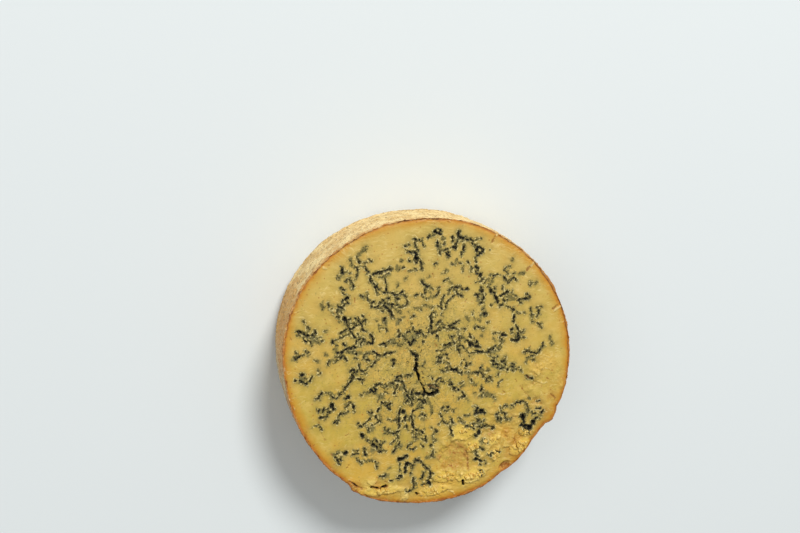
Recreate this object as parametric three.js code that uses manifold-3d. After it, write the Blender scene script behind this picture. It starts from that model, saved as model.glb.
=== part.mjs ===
// The cut end of a drum of blue-veined cheese, lying on its uncut end with the cut face up.
// Millimetres, +Z up. The origin is on the resting plane, under the middle of the bounding box.
// One solid: veins, rind and paste are one food, and what shows as relief is cut into it.
import * as THREE from "three";
import { mergeVertices } from "three/addons/utils/BufferGeometryUtils.js";
import Module from "manifold-3d";

// Driving dimensions
const faceRadius = 98; // mean radius of the drum
const drumHeight = 56; // from the resting plane to the cut face
const endRounding = 8; // moulded edge between the side and the uncut end
const barrel = 0.8; // how far the side swells at half height
const faceRings = 25; // rings of facets from the middle of the cut face to its rim
const sideRings = 8;
const roundingRings = 4;
const segments = 124; // facets round the drum

// Outline of the cut face: slow waves in its radius, a worn stretch of rim and a lip of rind pushed out
const outlineWaves = [
  { lobes: 2, height: 0.45, peakDeg: -30 },
  { lobes: 3, height: 1.05, peakDeg: 20 },
  { lobes: 4, height: 0.45, peakDeg: -29 },
];
const wear = {
  reach: 26, // how far down the side it fades away
  degAndDepth: [
    [-66, 0], [-62, 0.9], [-58, 2.1], [-54, 1.5], [-49, 1.5], [-44, 2.6], [-39, 3.9],
    [-34, 4], [-30, 3.1], [-27.5, 0], [-24.5, 0], [-21.5, 1.4], [-18, 0],
  ],
};
const splitLip = { startDeg: -124, endDeg: -94, height: 2.4, reach: 12 };

// Relief of the cut face, in the face's own x and y. Lumps lie mostly below the cut.
const lumpShare = 0.6; // how far down a lump is moved, as a share of its height
const crumbledArea = { x: 38, y: -56, radiusX: 44, radiusY: 30, turnDeg: 32, lumpSize: 12, lumpHeight: 2 };
const flakyRim = { x: 80, y: -18, radiusX: 24, radiusY: 18, turnDeg: 70, lumpSize: 9, lumpHeight: 0.9 };
const crumbledRim = { x: -28, y: -88, radiusX: 40, radiusY: 11, turnDeg: -6, lumpSize: 13, lumpHeight: 1.3 };
const scoop = { x: 17, y: -64, radiusX: 13, radiusY: 15, depth: 3.6 };
const brokenLump = { x: 27, y: -50, radiusX: 10, radiusY: 8, depth: -1.2 };
const faceWave = { size: 34, height: 0.45 };

// Rind: shallow hollows and swells of the side
const rindWave = { size: 30, height: 0.8 };
const rindKnobs = { size: 13, height: 0.45 };

// Open cracks of the cut face: a path on the face, its widest half width and its depth
const cracks = [
  { path: [[-13, 10], [-9, 0], [-8, -7], [-6, -12], [-3, -22]], halfWidth: 1.0, depth: 6 },
  { path: [[-4, -21.5], [0, -23], [7, -20]], halfWidth: 1.3, depth: 5 },
  { path: [[-59, -79], [-53, -81.5], [-47, -84.5], [-40, -84], [-35, -85.8], [-28, -85.5]], halfWidth: 1.1, depth: 7 },
  { path: [[62, -36], [66, -43], [71, -51]], halfWidth: 2.2, depth: 4 },
  { path: [[70, -51], [72.5, -44], [76, -37]], halfWidth: 1.8, depth: 4 },
];

const degrees = Math.PI / 180;

// 0 below low, 1 above high, smooth between
function ramp(value, low, high) {
  return THREE.MathUtils.smoothstep(value, low, high);
}

// Fixed pseudo-random value from 0 to 1 for a cell of a square lattice
function cellValue(i, j, seed) {
  const s = Math.sin(i * 127.1 + j * 311.7 + seed * 74.7) * 43758.5453;
  return s - Math.floor(s);
}

// Smooth noise from -1 to 1, one swell in each cell
function swell(x, y, seed) {
  const i = Math.floor(x);
  const j = Math.floor(y);
  const u = ramp(x - i, 0, 1);
  const v = ramp(y - j, 0, 1);
  const low = THREE.MathUtils.lerp(cellValue(i, j, seed), cellValue(i + 1, j, seed), u);
  const high = THREE.MathUtils.lerp(cellValue(i, j + 1, seed), cellValue(i + 1, j + 1, seed), u);
  return 2 * THREE.MathUtils.lerp(low, high, v) - 1;
}

// Rounded curds of about one lattice cell, with creases between them, from -1 to 1
function curds(x, y, seed) {
  let nearest = 9;
  for (let i = Math.floor(x) - 1; i <= Math.floor(x) + 1; i++) {
    for (let j = Math.floor(y) - 1; j <= Math.floor(y) + 1; j++) {
      const dx = i + cellValue(i, j, seed) - x;
      const dy = j + cellValue(i, j, seed + 1) - y;
      nearest = Math.min(nearest, dx * dx + dy * dy);
    }
  }
  return 1 - 2 * Math.min(1, 1.6 * nearest);
}

// 1 in the middle of an oval patch of the face, 0 from its edge out
function patch({ x, y, radiusX, radiusY, turnDeg = 0 }, px, py) {
  const c = Math.cos(turnDeg * degrees);
  const s = Math.sin(turnDeg * degrees);
  const across = ((px - x) * c + (py - y) * s) / radiusX;
  const along = ((py - y) * c - (px - x) * s) / radiusY;
  return 1 - ramp(Math.hypot(across, along), 0.45, 1);
}

// How far the rim is worn back at an angle
function wornDepth(deg) {
  const points = wear.degAndDepth;
  const next = points.findIndex(([pointDeg]) => pointDeg > deg);
  if (next < 1) return 0;
  const [fromDeg, fromDepth] = points[next - 1];
  const [toDeg, toDepth] = points[next];
  return THREE.MathUtils.mapLinear(deg, fromDeg, toDeg, fromDepth, toDepth);
}

// How much the lip stands out at an angle: sudden at the split, then dying away
function lipShare(deg) {
  const { startDeg, endDeg } = splitLip;
  return ramp(deg, startDeg, startDeg + 3) * (1 - ramp(deg, startDeg + 3, endDeg));
}

// Radius of the outline at an angle and a height
function outline(angle, z) {
  const deg = angle / degrees;
  const waves = outlineWaves.reduce(
    (sum, w) => sum + w.height * Math.cos(w.lobes * (angle - w.peakDeg * degrees)),
    0,
  );
  const worn = wornDepth(deg) * ramp(z, drumHeight - wear.reach, drumHeight);
  const lip = splitLip.height * lipShare(deg) * ramp(z, drumHeight - splitLip.reach, drumHeight);
  return faceRadius + waves - worn + lip;
}

// Height of the cut face above or below its plane
function faceRelief(x, y) {
  const wave = faceWave.height * swell(x / faceWave.size + 5, y / faceWave.size + 5, 3);
  const crumbles = [crumbledArea, flakyRim, crumbledRim].reduce((sum, c) => {
    const lumps = c.lumpHeight * (curds(x / c.lumpSize, y / c.lumpSize, 11) - lumpShare);
    return sum + patch(c, x, y) * lumps;
  }, 0);
  const hollows = [scoop, brokenLump].reduce((sum, h) => sum + h.depth * patch(h, x, y), 0);
  return wave + crumbles - hollows;
}

// Swells and hollows of the rind, out from the side
function rindRelief(angle, z) {
  const along = angle * faceRadius;
  const around = 2 * Math.PI * faceRadius;
  const fade = ramp(z, 0, endRounding);
  const at = ({ size, height }, seed) => {
    const share = ramp(angle, Math.PI * 0.9, Math.PI); // the two ends of the unrolled rind meet
    const here = swell(along / size, z / size, seed);
    const there = swell((along - around) / size, z / size, seed);
    return height * THREE.MathUtils.lerp(here, there, share);
  };
  return fade * (at(rindWave, 21) + at(rindKnobs, 31));
}

// Profile from the middle of the cut face out, down the side and in to the middle of the uncut end,
// as shares of the outline's radius with their heights
function profile() {
  const points = [];
  for (let i = 0; i <= faceRings; i++) {
    points.push({ share: i / faceRings, z: drumHeight, face: true });
  }
  for (let i = 1; i <= sideRings; i++) {
    points.push({ share: 1, z: THREE.MathUtils.lerp(drumHeight, endRounding, i / sideRings) });
  }
  for (let i = 1; i <= roundingRings; i++) {
    const turn = (i / roundingRings) * 90 * degrees;
    const inset = endRounding * (1 - Math.cos(turn));
    points.push({ share: 1 - inset / faceRadius, z: endRounding * (1 - Math.sin(turn)) });
  }
  points.push({ share: 0, z: 0 });
  return points;
}

// The drum as a lathed profile whose points are then moved out, in, up or down
function drumGeometry() {
  const points = profile();
  const lathe = new THREE.LatheGeometry(
    points.map((p) => new THREE.Vector2(p.share, 0)),
    segments,
  );
  const position = lathe.getAttribute("position");
  for (let i = 0; i < position.count; i++) {
    const { share, z, face } = points[i % points.length];
    const column = Math.floor(i / points.length) % segments;
    const angle = ((column + 0.5) / segments - 0.5) * 2 * Math.PI;
    const swollen = barrel * Math.sin((Math.PI * z) / drumHeight);
    const rim = outline(angle, z) + swollen + rindRelief(angle, z);
    const x = share * rim * Math.cos(angle);
    const y = share * rim * Math.sin(angle);
    const lift = face ? faceRelief(x, y) : 0;
    position.setXYZ(i, x, y, z + lift);
  }
  lathe.deleteAttribute("normal");
  lathe.deleteAttribute("uv");
  return lathe;
}

// A tapering blade along a path on the face: full width at the face and a quarter of it at its foot
function crackGeometry({ path, halfWidth, depth }) {
  const spine = new THREE.SplineCurve(path.map(([x, y]) => new THREE.Vector2(x, y)));
  const steps = 4 * (path.length - 1);
  const left = [];
  const right = [];
  for (let i = 0; i <= steps; i++) {
    const at = i / steps;
    const middle = spine.getPoint(at);
    const ahead = spine.getTangent(at);
    const ragged = 0.75 + 0.35 * cellValue(i, path.length, 41);
    const half = halfWidth * ragged * Math.max(0.12, Math.sin(Math.PI * at));
    left.push(new THREE.Vector2(middle.x - ahead.y * half, middle.y + ahead.x * half));
    right.unshift(new THREE.Vector2(middle.x + ahead.y * half, middle.y - ahead.x * half));
  }
  const outer = [...left, ...right];
  const over = 6; // the blade stands this far above the face
  const blade = new THREE.ExtrudeGeometry(new THREE.Shape(outer), {
    depth: depth + over,
    bevelEnabled: false,
  });
  const position = blade.getAttribute("position");
  const samples = spine.getPoints(steps);
  for (let i = 0; i < position.count; i++) {
    if (position.getZ(i) > 0) continue;
    const here = new THREE.Vector2(position.getX(i), position.getY(i));
    const middle = samples.reduce((a, b) => (here.distanceTo(a) < here.distanceTo(b) ? a : b));
    here.lerp(middle, 0.75);
    position.setXY(i, here.x, here.y);
  }
  blade.translate(0, 0, drumHeight - depth);
  blade.deleteAttribute("normal");
  blade.deleteAttribute("uv");
  return blade;
}

const wasm = await Module();
wasm.setup();

// A closed geometry as a solid that can be joined or cut
function solidFrom(geometry) {
  const merged = mergeVertices(geometry, 1e-3);
  const index = merged.getIndex().array;
  const triangles = [];
  for (let i = 0; i < index.length; i += 3) {
    const [a, b, c] = [index[i], index[i + 1], index[i + 2]];
    if (a !== b && b !== c && c !== a) triangles.push(a, b, c);
  }
  const mesh = (list) =>
    new wasm.Manifold(
      new wasm.Mesh({
        numProp: 3,
        vertProperties: new Float32Array(merged.getAttribute("position").array),
        triVerts: new Uint32Array(list),
      }),
    );
  const solid = mesh(triangles);
  return solid.volume() > 0 ? solid : mesh(triangles.reverse());
}

// The largest body of a solid as a geometry
function geometryFrom(solid) {
  const largest = solid.decompose().reduce((a, b) => (a.volume() > b.volume() ? a : b));
  const mesh = largest.getMesh();
  const geometry = new THREE.BufferGeometry();
  geometry.setAttribute("position", new THREE.BufferAttribute(mesh.vertProperties, 3));
  geometry.setIndex(new THREE.BufferAttribute(mesh.triVerts, 1));
  geometry.computeVertexNormals();
  return geometry;
}

const drum = cracks.reduce(
  (solid, crack) => solid.subtract(solidFrom(crackGeometry(crack))),
  solidFrom(drumGeometry()),
);
const cheeseGeometry = geometryFrom(drum);
cheeseGeometry.computeBoundingBox();
const middle = cheeseGeometry.boundingBox.getCenter(new THREE.Vector3());
cheeseGeometry.translate(-middle.x, -middle.y, 0);

const paste = new THREE.MeshStandardMaterial({ color: 0xd9b45c, roughness: 0.62, metalness: 0 });
const cheese = new THREE.Mesh(cheeseGeometry, paste);
cheese.name = "cheese";

const part = new THREE.Group();
part.add(cheese);
export default part;
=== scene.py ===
import math
import random

import bpy
import numpy as np
from mathutils import Matrix, Vector
from mathutils import noise as perlin


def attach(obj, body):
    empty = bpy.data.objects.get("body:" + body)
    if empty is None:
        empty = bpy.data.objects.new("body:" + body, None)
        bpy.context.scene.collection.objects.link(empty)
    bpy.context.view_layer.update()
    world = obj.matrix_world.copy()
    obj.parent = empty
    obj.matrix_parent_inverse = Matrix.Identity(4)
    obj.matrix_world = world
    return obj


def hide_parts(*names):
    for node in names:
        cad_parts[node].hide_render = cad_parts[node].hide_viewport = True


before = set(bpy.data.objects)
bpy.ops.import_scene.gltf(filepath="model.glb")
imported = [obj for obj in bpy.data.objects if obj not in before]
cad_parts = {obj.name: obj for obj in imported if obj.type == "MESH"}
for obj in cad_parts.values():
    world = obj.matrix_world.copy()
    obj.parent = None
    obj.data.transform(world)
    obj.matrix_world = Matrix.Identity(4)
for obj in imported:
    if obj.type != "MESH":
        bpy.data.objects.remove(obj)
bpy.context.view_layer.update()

mm = 0.001


# The drum, as in the CAD model: places on its cut face are in mm from the middle of the face

drum = {
    "radius": 98,
    "height": 56,
    "endRounding": 8,
    "barrel": 0.8,
    "faceMiddle": (-0.52, 0.64),  # middle of the round face, from the middle of the part's box
    "waves": [(2, 0.45, -30), (3, 1.05, 20), (4, 0.45, -29)],  # lobes, height, angle of a peak
    "wearReach": 26,
    "wear": [  # angle, and how far the rim is worn back there
        (-66, 0), (-62, 0.9), (-58, 2.1), (-54, 1.5), (-49, 1.5), (-44, 2.6), (-39, 3.9), (-34, 4),
        (-30, 3.1), (-27.5, 0), (-24.5, 0), (-21.5, 1.4), (-18, 0), (55, 0), (75, -0.8), (108, -0.9),
        (125, 0),
    ],
    "lip": {"from": -124, "peak": -121, "to": -94, "height": 2.4, "reach": 12},
}

# Blue mould on the face, drawn stroke by stroke and grouped by weight: x, y, x, y and so on in mm
blue = {
    "faint": [
        (-43, 79, -45, 76, -48, 72.5), (-52, 72, -51, 69, -51, 67), (-22.5, 65.5, -21, 63),
        (-23, 36, -20, 35), (-72, 42.5, -70.5, 39), (-66, 39.5, -63.5, 36), (-17, 57, -15, 58),
        (-10.5, 37, -6, 37, -5, 36), (-3, 39, -1, 38.5), (1, 37.5, 3, 38.5, 2, 36), (55, 45, 57, 44.5),
        (53, 42, 56, 42, 58, 41), (42, 58.5, 43, 58), (62, 57.5, 64, 58.5), (57, 68, 56.5, 67),
        (74, 52, 73, 51), (69.5, 52, 70, 49), (8.5, 84, 10, 83), (-79, 19.5, -76, 19, -73.5, 17),
        (-75.5, 5, -74.5, 4.5), (-69.5, 9, -68.5, 8), (-62.5, 15, -62, 13.5), (-64, 11.5, -63, 11),
        (-64.5, 5, -63.5, 4, -62, 4.5), (-55, 9.5, -49.5, 9, -45.5, 8.5), (-68, -17.5, -66, -18),
        (-16.5, 19.5, -16.5, 17, -15.5, 15), (-23, 14, -21, 13.5, -19, 13, -18, 14.5),
        (-2.5, 0, -5.5, -2.5, -7, -2.5), (10, 1, 12, 0, 14, -1.5, 14.5, -2.5), (25, -8, 27, -8),
        (27.5, -11, 29, -14, 30.5, -15), (20.5, -25, 22, -25), (-1, -26, 0.5, -29, 2, -31.5, 2, -36),
        (-29.5, -15, -24, -15.5), (-32, -20, -31.5, -23), (31, 28, 34, 27), (45, 13.5, 46, 12.5),
        (84.5, 13.5, 84, 12), (85.5, 10, 86, 8), (40.5, -23, 42, -24, 44, -25.5, 46.5, -28),
        (36, -18, 38, -24), (-34, -33.5, -33.5, -39), (-44, -66, -41, -65.5, -38, -66),
        (54, -42, 56, -43.5), (32, -31.5, 33, -33), (69, -35, 69, -38), (-13, -19, -13, -28),
        (-17, -23, -9, -24), (-16, -27.5, -10, -19), (22, 17, 24, 15, 25, 13.5), (30, 17, 31, 13),
        (67, -4, 69, -0.5, 73, 1), (48, 15, 49, 13), (25, 30, 27, 27),
    ],
    "thin": [
        (-57, 62.5, -52.5, 62.5), (-61, 60.5, -59.5, 59.5), (-50, 58, -48.5, 60), (-43.5, 68.5, -41, 69),
        (-40, 71, -38.5, 69), (-58, 38, -58.5, 36), (-45.5, 47.5, -44, 45),
        (-39, 58, -37, 55, -35.5, 52, -33.5, 50), (-30, 61.5, -27.5, 61.5), (-34, 59, -31, 59, -29.5, 60),
        (-23, 42, -22.5, 41.5), (-35, 38.5, -33, 38.5), (-14, 63, -12.5, 63), (-18.5, 64.5, -17.5, 65),
        (1, 51, 2, 49.5), (-6, 45.5, -5, 46), (-1.5, 43.5, -1.5, 42.5), (2, 85.5, 4, 86),
        (22, 73.5, 22, 71.5), (30.5, 81, 32.5, 82, 34.5, 82.5), (15, 65.5, 17, 65.5, 18, 66.5),
        (23, 64, 22.5, 61), (28.5, 61.5, 28, 60.5), (3, 66, 5, 67), (14, 49.5, 13.5, 47.5, 12.5, 46),
        (9, 33.5, 9, 31), (36, 55.5, 37.5, 56), (37, 52, 39, 54.5), (36.5, 48.5, 35.5, 47),
        (40, 50, 41.5, 49.5), (47.5, 43, 48.5, 43.5), (50, 48, 50, 50), (51, 61, 52.5, 62, 55, 62.5),
        (52, 60, 53.5, 58.5), (44, 57, 45.5, 57.5, 47.5, 58), (59, 59, 57.5, 58.5), (61, 39.5, 63, 38),
        (65, 31.5, 66, 31.5), (36.5, 35, 37, 34.5), (75, 34.5, 78.5, 34.5), (75.5, 33, 75.5, 31, 77, 33),
        (70, 34.5, 70.5, 27.5), (41, 75.5, 41, 75), (-88, 22.5, -86, 21.5), (-71, 24, -69, 24.5),
        (-83, 12, -81.5, 10.5, -80, 10.5),
        (-64.5, 18, -61.5, 18.5, -58.5, 20, -56, 21, -54, 21.5, -52.5, 23), (-56, 30, -53, 29, -50, 28.5),
        (-48, 22, -47.5, 19.5), (-45, 16.5, -46.5, 14), (-49, 15, -48.5, 17), (-42, 15.5, -41, 14),
        (-38, 19.5, -37, 17.5), (-43, -5.5, -44, -4.5),
        (-75, -4, -73.5, -4.5, -72.5, -3, -73.5, -1.5, -75, -1.5), (-84, -6, -82.5, -7.5),
        (-56.5, -28.5, -55.5, -27, -54, -25.5), (-53, -26, -52.5, -24.5), (-42.5, -19, -40.5, -18.5),
        (-33, 13, -32, 14), (-30, 28, -29.5, 26), (-28, 15, -27, 16.5, -25, 17), (-7, 20.5, -6.5, 19.5),
        (-9, 15, -8, 15), (-7.5, 17.5, -7, 18.5), (-0.5, 20, 0, 22, 0.5, 24), (7, 24, 9, 25.5, 11, 25),
        (8, 22.5, 10, 23, 13, 22), (20, 18, 21.5, 18),
        (22, 11, 23.5, 9.5, 25, 7, 26.5, 5, 28, 4.5, 31, 5, 34, 5.5), (28, 18, 28.5, 16),
        (5, 7.5, 7, 8, 9, 8, 11, 8.5), (12, 2.5, 13, 2), (9.5, 4, 10.5, 5), (2, -11, 2.5, -12.5),
        (15, -14.5, 16.5, -15.5), (16.5, -20, 18.5, -20.5), (21, -15.5, 24, -15), (22, -18, 23, -17.5),
        (8, -6, 10, -7, 12, -6.5, 15, -6), (10.5, -4.5, 13, -5), (22, -2.5, 22.5, -1), (-7, -21, -5, -21),
        (-8, -30.5, -4, -31), (-4, -25, -2.5, -27, -1.5, -29), (-28, -29.5, -26, -29),
        (-30, -18.5, -28.5, -19.5), (40, 7, 41, 6.5), (42.5, 4.5, 42.5, 2.5, 44, 1.5, 46, 1, 47.5, 2),
        (47, 17.5, 49, 18), (50.5, 18, 52, 17.5), (56.5, 17, 57.5, 18), (66, 20, 65.5, 18),
        (72, 25.5, 71, 25), (75.5, 31.5, 76, 30, 75, 28), (71, 1, 73, 1), (56, -4, 58, -4, 59.5, -4.5),
        (62, -6.5, 63, -6), (36.5, -6.5, 38.5, -7.5, 42, -7.5), (43, -14.5, 43.5, -15),
        (51, -14, 49.5, -15, 48.5, -17, 48.5, -19.5), (53, -0.5, 53, 1.5), (53, -4, 53.5, -5),
        (60.5, -7, 61.5, -7.5), (-77, -39.5, -75.5, -40), (-40, -53.5, -38.5, -52.5, -37, -51),
        (-51.5, -57.5, -50, -58.5, -48.5, -58.5), (-65, -60, -63, -59.5, -61, -59.5),
        (-60, -62, -60.5, -64), (-18, -39.5, -14, -38.5), (-4.5, -34.5, -4, -36), (-5, -39, -3, -38.5),
        (-30.5, -44, -30, -46, -28.5, -46.5, -27.5, -45),
        (-21, -49.5, -22, -51.5, -23.5, -53.5, -26, -55), (-9, -48.5, -7.5, -49.5, -6, -50.5),
        (-9, -53.5, -7.5, -53), (-21, -67, -20, -69, -20, -71, -20, -74), (-4, -86, -2, -85.5),
        (-7.5, -67, -6.5, -66.5), (-27, -81, -24.5, -81), (7, -43.5, 9, -41.5, 10, -40.5),
        (11, -34, 13, -35, 14, -34), (3.5, -49, 3, -52, 3, -54), (1.5, -45.5, 2.5, -46), (3, -61, 3, -64),
        (1, -66.5, 2, -65.5, 3.5, -66.5), (21, -40, 22.5, -40.5), (25, -38.5, 28, -38),
        (35, -44, 37, -43.5, 39, -42.5), (50, -33.5, 50.5, -35.5, 50.5, -37.5),
        (51, -34.5, 53.5, -33.5, 55, -33.5), (58, -33, 61, -31.5), (76, -42, 78, -41),
        (76.5, -31, 78, -31), (36, -73, 37, -74), (39.5, -74, 40, -73), (41, -58.5, 40, -57.5),
        (41.5, -66.5, 42, -67.5), (-10, 64, -9, 63), (75.6, -42.4, 77.5, -41.3, 79.2, -40.2, 80.2, -39.3),
    ],
    "plain": [
        (-49.5, 65.5, -48, 65.5, -48, 62, -48.5, 60), (-46, 67, -43, 66.5, -42, 64, -40.5, 62.5),
        (-58, 50, -57, 48), (-56, 57, -54.5, 58, -52.5, 57, -51, 55.5, -50.5, 53.5, -51.5, 52),
        (-54.5, 44, -53.5, 42.5), (-55.5, 42, -57, 40.5), (-68, 43, -67, 41, -66, 40),
        (-61, 40.5, -60, 40, -58.5, 39.5), (-61.5, 38.5, -61.5, 36, -60, 35.5), (-62, 33.5, -61, 33),
        (-55, 31.5, -52.5, 32), (-45, 33.5, -44, 33), (-84, 32, -83, 31),
        (-42, 50, -42, 47, -42, 45, -40.5, 42.5), (-39, 42, -37.5, 43), (-38.5, 40, -39, 38.5),
        (-40, 60, -39.5, 58, -38.5, 55.5, -37, 53.5, -36.5, 51.5, -35.5, 49.5, -35, 47.5),
        (-30, 63, -28, 64, -27, 65, -26.5, 66), (-30, 59, -29.5, 56.5, -29, 54, -28.5, 51.5),
        (-31.5, 48.5, -29, 48.5, -26, 48.5, -23.5, 47.5, -21, 47.5, -19.5, 48, -18.5, 49),
        (-18, 47, -16.5, 46, -15.5, 44, -15, 42, -15, 40, -16, 39, -18, 38.5, -21, 38),
        (-34, 41.5, -31.5, 41.5), (-36, 39, -34, 40), (-33.5, 39, -31, 38), (-32.5, 36.5, -31.5, 36),
        (-25, 39.5, -24, 38), (-22.5, 43.5, -20.5, 43), (-31, 31, -29, 31.5), (-21, 30.5, -19.5, 30.5),
        (-7, 83, -5.5, 82, -4.5, 80, -3.5, 78.5), (-10.5, 80.5, -10, 78.5, -8.5, 77.5, -7.5, 76.5),
        (-3, 50.5, -3, 48.5, -3, 46.5), (-9.5, 46, -8.5, 46), (-1, 84, -0.5, 85.5, 0.5, 85),
        (6, 76.5, 7, 75.5, 9, 75.5, 11, 76, 12.5, 76.5), (9, 79, 10, 79.5), (11.5, 71, 12, 72),
        (22.5, 83, 21.5, 81), (30, 79, 31.5, 77, 32.5, 75.5), (20.5, 67, 21.5, 66.5),
        (8.5, 60, 10, 60, 11, 61, 11.5, 62.5), (10, 54.5, 11.5, 56, 13, 56), (5.5, 50, 6, 50.5),
        (6.5, 47.5, 5, 46, 4.5, 45), (15, 50, 17, 49.5, 19, 50.5, 20.5, 51),
        (18, 48, 18.5, 46, 20, 46, 22, 44.5),
        (17, 45, 15.5, 43.5, 14, 42, 12.5, 40.5, 11.5, 39.5, 11.5, 38), (10, 45, 8.5, 42.5, 8, 40, 8, 38),
        (5.5, 38, 7, 38), (3, 34, 1.5, 32.5, 0, 30.5), (-12.5, 31, -11, 32.5), (32, 60, 33, 59),
        (34, 73, 33, 71.5, 31.5, 70.5, 30.5, 69.5), (31.5, 53.5, 33, 54, 35, 54),
        (33.5, 45, 35, 46, 36, 45, 37, 43.5, 36.5, 41.5), (36, 40.5, 35, 39, 36.5, 39.5),
        (44.5, 49.5, 44.5, 48), (51, 56, 52.5, 54.5, 53.5, 53, 54.5, 52),
        (55, 52.5, 56, 54, 57.5, 56, 59, 54.5, 59.5, 53.5), (51, 41, 52, 39.5, 54, 40.5),
        (59.5, 43, 60.5, 42), (62, 40.5, 63.5, 40.5, 65.5, 41, 67, 41, 69, 41.5, 69, 43),
        (67, 44, 67.5, 44), (50.5, 38, 49, 37.5, 48, 36), (53, 37, 55, 35, 56.5, 33.5, 58, 33),
        (41.5, 37, 42, 36.5), (29.5, 33, 29.5, 32), (-84, 20.5, -83.5, 19, -82, 18, -80.5, 18, -78.5, 16),
        (-74, 20, -72.5, 21), (-72, 18, -71.5, 18), (-81, 27.5, -79.5, 26.5), (-77, 25.5, -76.5, 25.5),
        (-90, 8.5, -89, 6.5, -88, 7, -87.5, 8, -85.5, 9, -84, 9.5), (-89, 11, -88.5, 10.5),
        (-67, 5, -67.5, 3.5, -68, 2), (-65, 18, -64.5, 16.5),
        (-57.5, 24, -55.5, 25, -54.5, 26, -52, 25.5, -50, 27, -47, 28, -45.5, 28), (-45, 30, -42.5, 31),
        (-58, 15.5, -57, 14.5, -56, 13.5), (-50, 5, -48.5, 4.5),
        (-62, 7, -60, 6, -57.5, 7, -56.5, 5.5, -55.5, 4),
        (-44, 5.5, -43.5, 7.5, -41, 8.5, -38.5, 9, -37, 9.5, -35.5, 8, -34, 6.5, -32.5, 6),
        (-44, 4, -42, 4, -39.5, 3.5), (-34.5, 4, -37, 2, -38.5, 0, -40, -1),
        (-48, 1, -47.5, -1, -47, -2.5, -45, -3.5, -43, -2.5, -41.5, -1, -40, -0.5),
        (-50.5, -4.5, -49, -4, -48, -2.5), (-57, -15.5, -58, -17, -59.5, -18.5, -60, -19.5),
        (-66.5, -19, -65, -20.5, -63, -21, -61, -21, -60, -19), (-80, -8.5, -79, -7.5, -78.5, -6),
        (-71, -28, -71.5, -30.5), (-52, -26, -51.5, -28.5, -51, -31), (-46.5, -19.5, -44.5, -20.5),
        (-36.5, -19, -35.5, -17, -37.5, -15), (-34, 25, -31, 25), (-29, 24.5, -28.5, 23),
        (-21, 22, -20.5, 23), (-18, 19, -17, 18), (-11.5, 24, -11, 22.5),
        (-4.5, 20, -3.5, 18.5, -2, 18.5), (3, 20.5, 4.5, 21.5, 6, 22, 7.5, 21.5), (13.5, 24, 14.5, 22.5),
        (15, 16.5, 16.5, 17), (17, 13.5, 17.5, 12), (20.5, 17, 21, 14, 21, 12, 21.5, 10),
        (12, 9.5, 13.5, 10, 15, 10.5), (12, 11, 14, 12), (19.5, 11, 19.5, 9, 20, 7, 21, 5, 21.5, 4),
        (11.5, 4.5, 12.5, 4.5), (-16, -9, -14.5, -8, -12, -8, -11, -6.5),
        (-27.5, -13.5, -26, -13, -24, -12.5), (-11, -18, -11.5, -20.5, -12, -22),
        (-12, -23.5, -10.5, -25), (-11.5, -29, -11.5, -28), (4.5, -13.5, 6, -11.5, 7.5, -11.5),
        (8, -13.5, 9.5, -14.5, 10.5, -15.5), (19.5, -7.5, 21, -8.5, 22.5, -9.5, 23, -7.5),
        (23.5, 0.5, 24, 0), (-14.5, -25, -16, -27.5), (31, 22.5, 33, 23.5, 34.5, 23),
        (35.5, 22, 38.5, 21.5), (40.5, 25.5, 39.5, 25.5), (28.5, 17.5, 29, 15), (32.5, 13, 32, 11.5),
        (32, 6.5, 34, 5.5, 36.5, 5, 39, 5, 41.5, 5, 42.5, 4.5), (44.5, 8.5, 46.5, 9),
        (47.5, 7.5, 48.5, 6), (48.5, 9.5, 50, 10.5, 51, 12, 50, 14), (60, 14.5, 61.5, 14.5),
        (64.5, 14, 67, 14), (75.5, 23.5, 77, 22, 78, 21), (79.5, 9.5, 79, 7.5, 77.5, 5.5, 76.5, 3.5),
        (66, 4, 68, 4, 69.5, 5, 70.5, 3, 72, 3.5, 74, 3, 76.5, 3.5), (45.5, 1, 45, -0.5),
        (44.5, -3, 45, -5), (46, -4, 47.5, -4), (46, -6, 48, -6, 50, -6.5, 52.5, -6.5),
        (54, -7.5, 55, -8), (57, -6.5, 59, -6.5), (57, -8.5, 59, -8.5), (63, -8.5, 64.5, -8.5),
        (34.5, -7, 36, -5.5), (36, -9, 37.5, -10.5, 37.5, -12.5),
        (41.5, -11.5, 43, -13, 41, -13.5, 40, -15), (48, -10.5, 48, -12), (68, -13, 70, -14.5, 72, -15),
        (37, -24, 37, -25.5), (-62, -34.5, -60.5, -33.5, -58.5, -32.5, -57, -32, -55.5, -30.5),
        (-64, -38, -63, -37, -61.5, -36.5, -60.5, -37), (-62, -39, -61.5, -38.5),
        (-73, -41, -72.5, -42.5), (-44.5, -41, -43, -39.5, -42, -38, -40.5, -36.5),
        (-48.5, -40, -48, -39.5), (-41.5, -32, -40.5, -33.5, -39, -34.5, -38.5, -33, -39, -32),
        (-36, -35, -34.5, -37.5, -33, -39.5), (-42, -41.5, -41.5, -43, -41.5, -45),
        (-40.5, -40.5, -38.5, -41.5, -37, -41, -34.5, -38.5), (-52, -60.5, -50, -60.5, -48.5, -60.5),
        (-49.5, -63, -48.5, -65, -47, -66.5, -46, -67.5), (-36.5, -67, -36, -69, -35.5, -71.5),
        (-28, -30, -26.5, -31), (-20, -30, -20, -33, -20, -36, -20, -38.5, -20.5, -41, -20.5, -44),
        (-12, -36, -11, -34, -9.5, -32.5, -8, -31, -6.5, -30.5), (-28.5, -38, -27, -38.5),
        (-25, -39, -22.5, -38.5, -20, -38),
        (-27.5, -47.5, -25.5, -47.5, -24.5, -48.5, -23, -48, -21, -47, -20, -46.5),
        (-20, -54.5, -21, -56, -22.5, -57.5, -24, -59.5, -25.5, -61.5),
        (-15.5, -42, -15, -44, -15, -46.5),
        (-11.5, -43.5, -11, -45, -9.5, -46.5, -7.5, -47, -5.5, -47.5, -4.5, -49),
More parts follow.
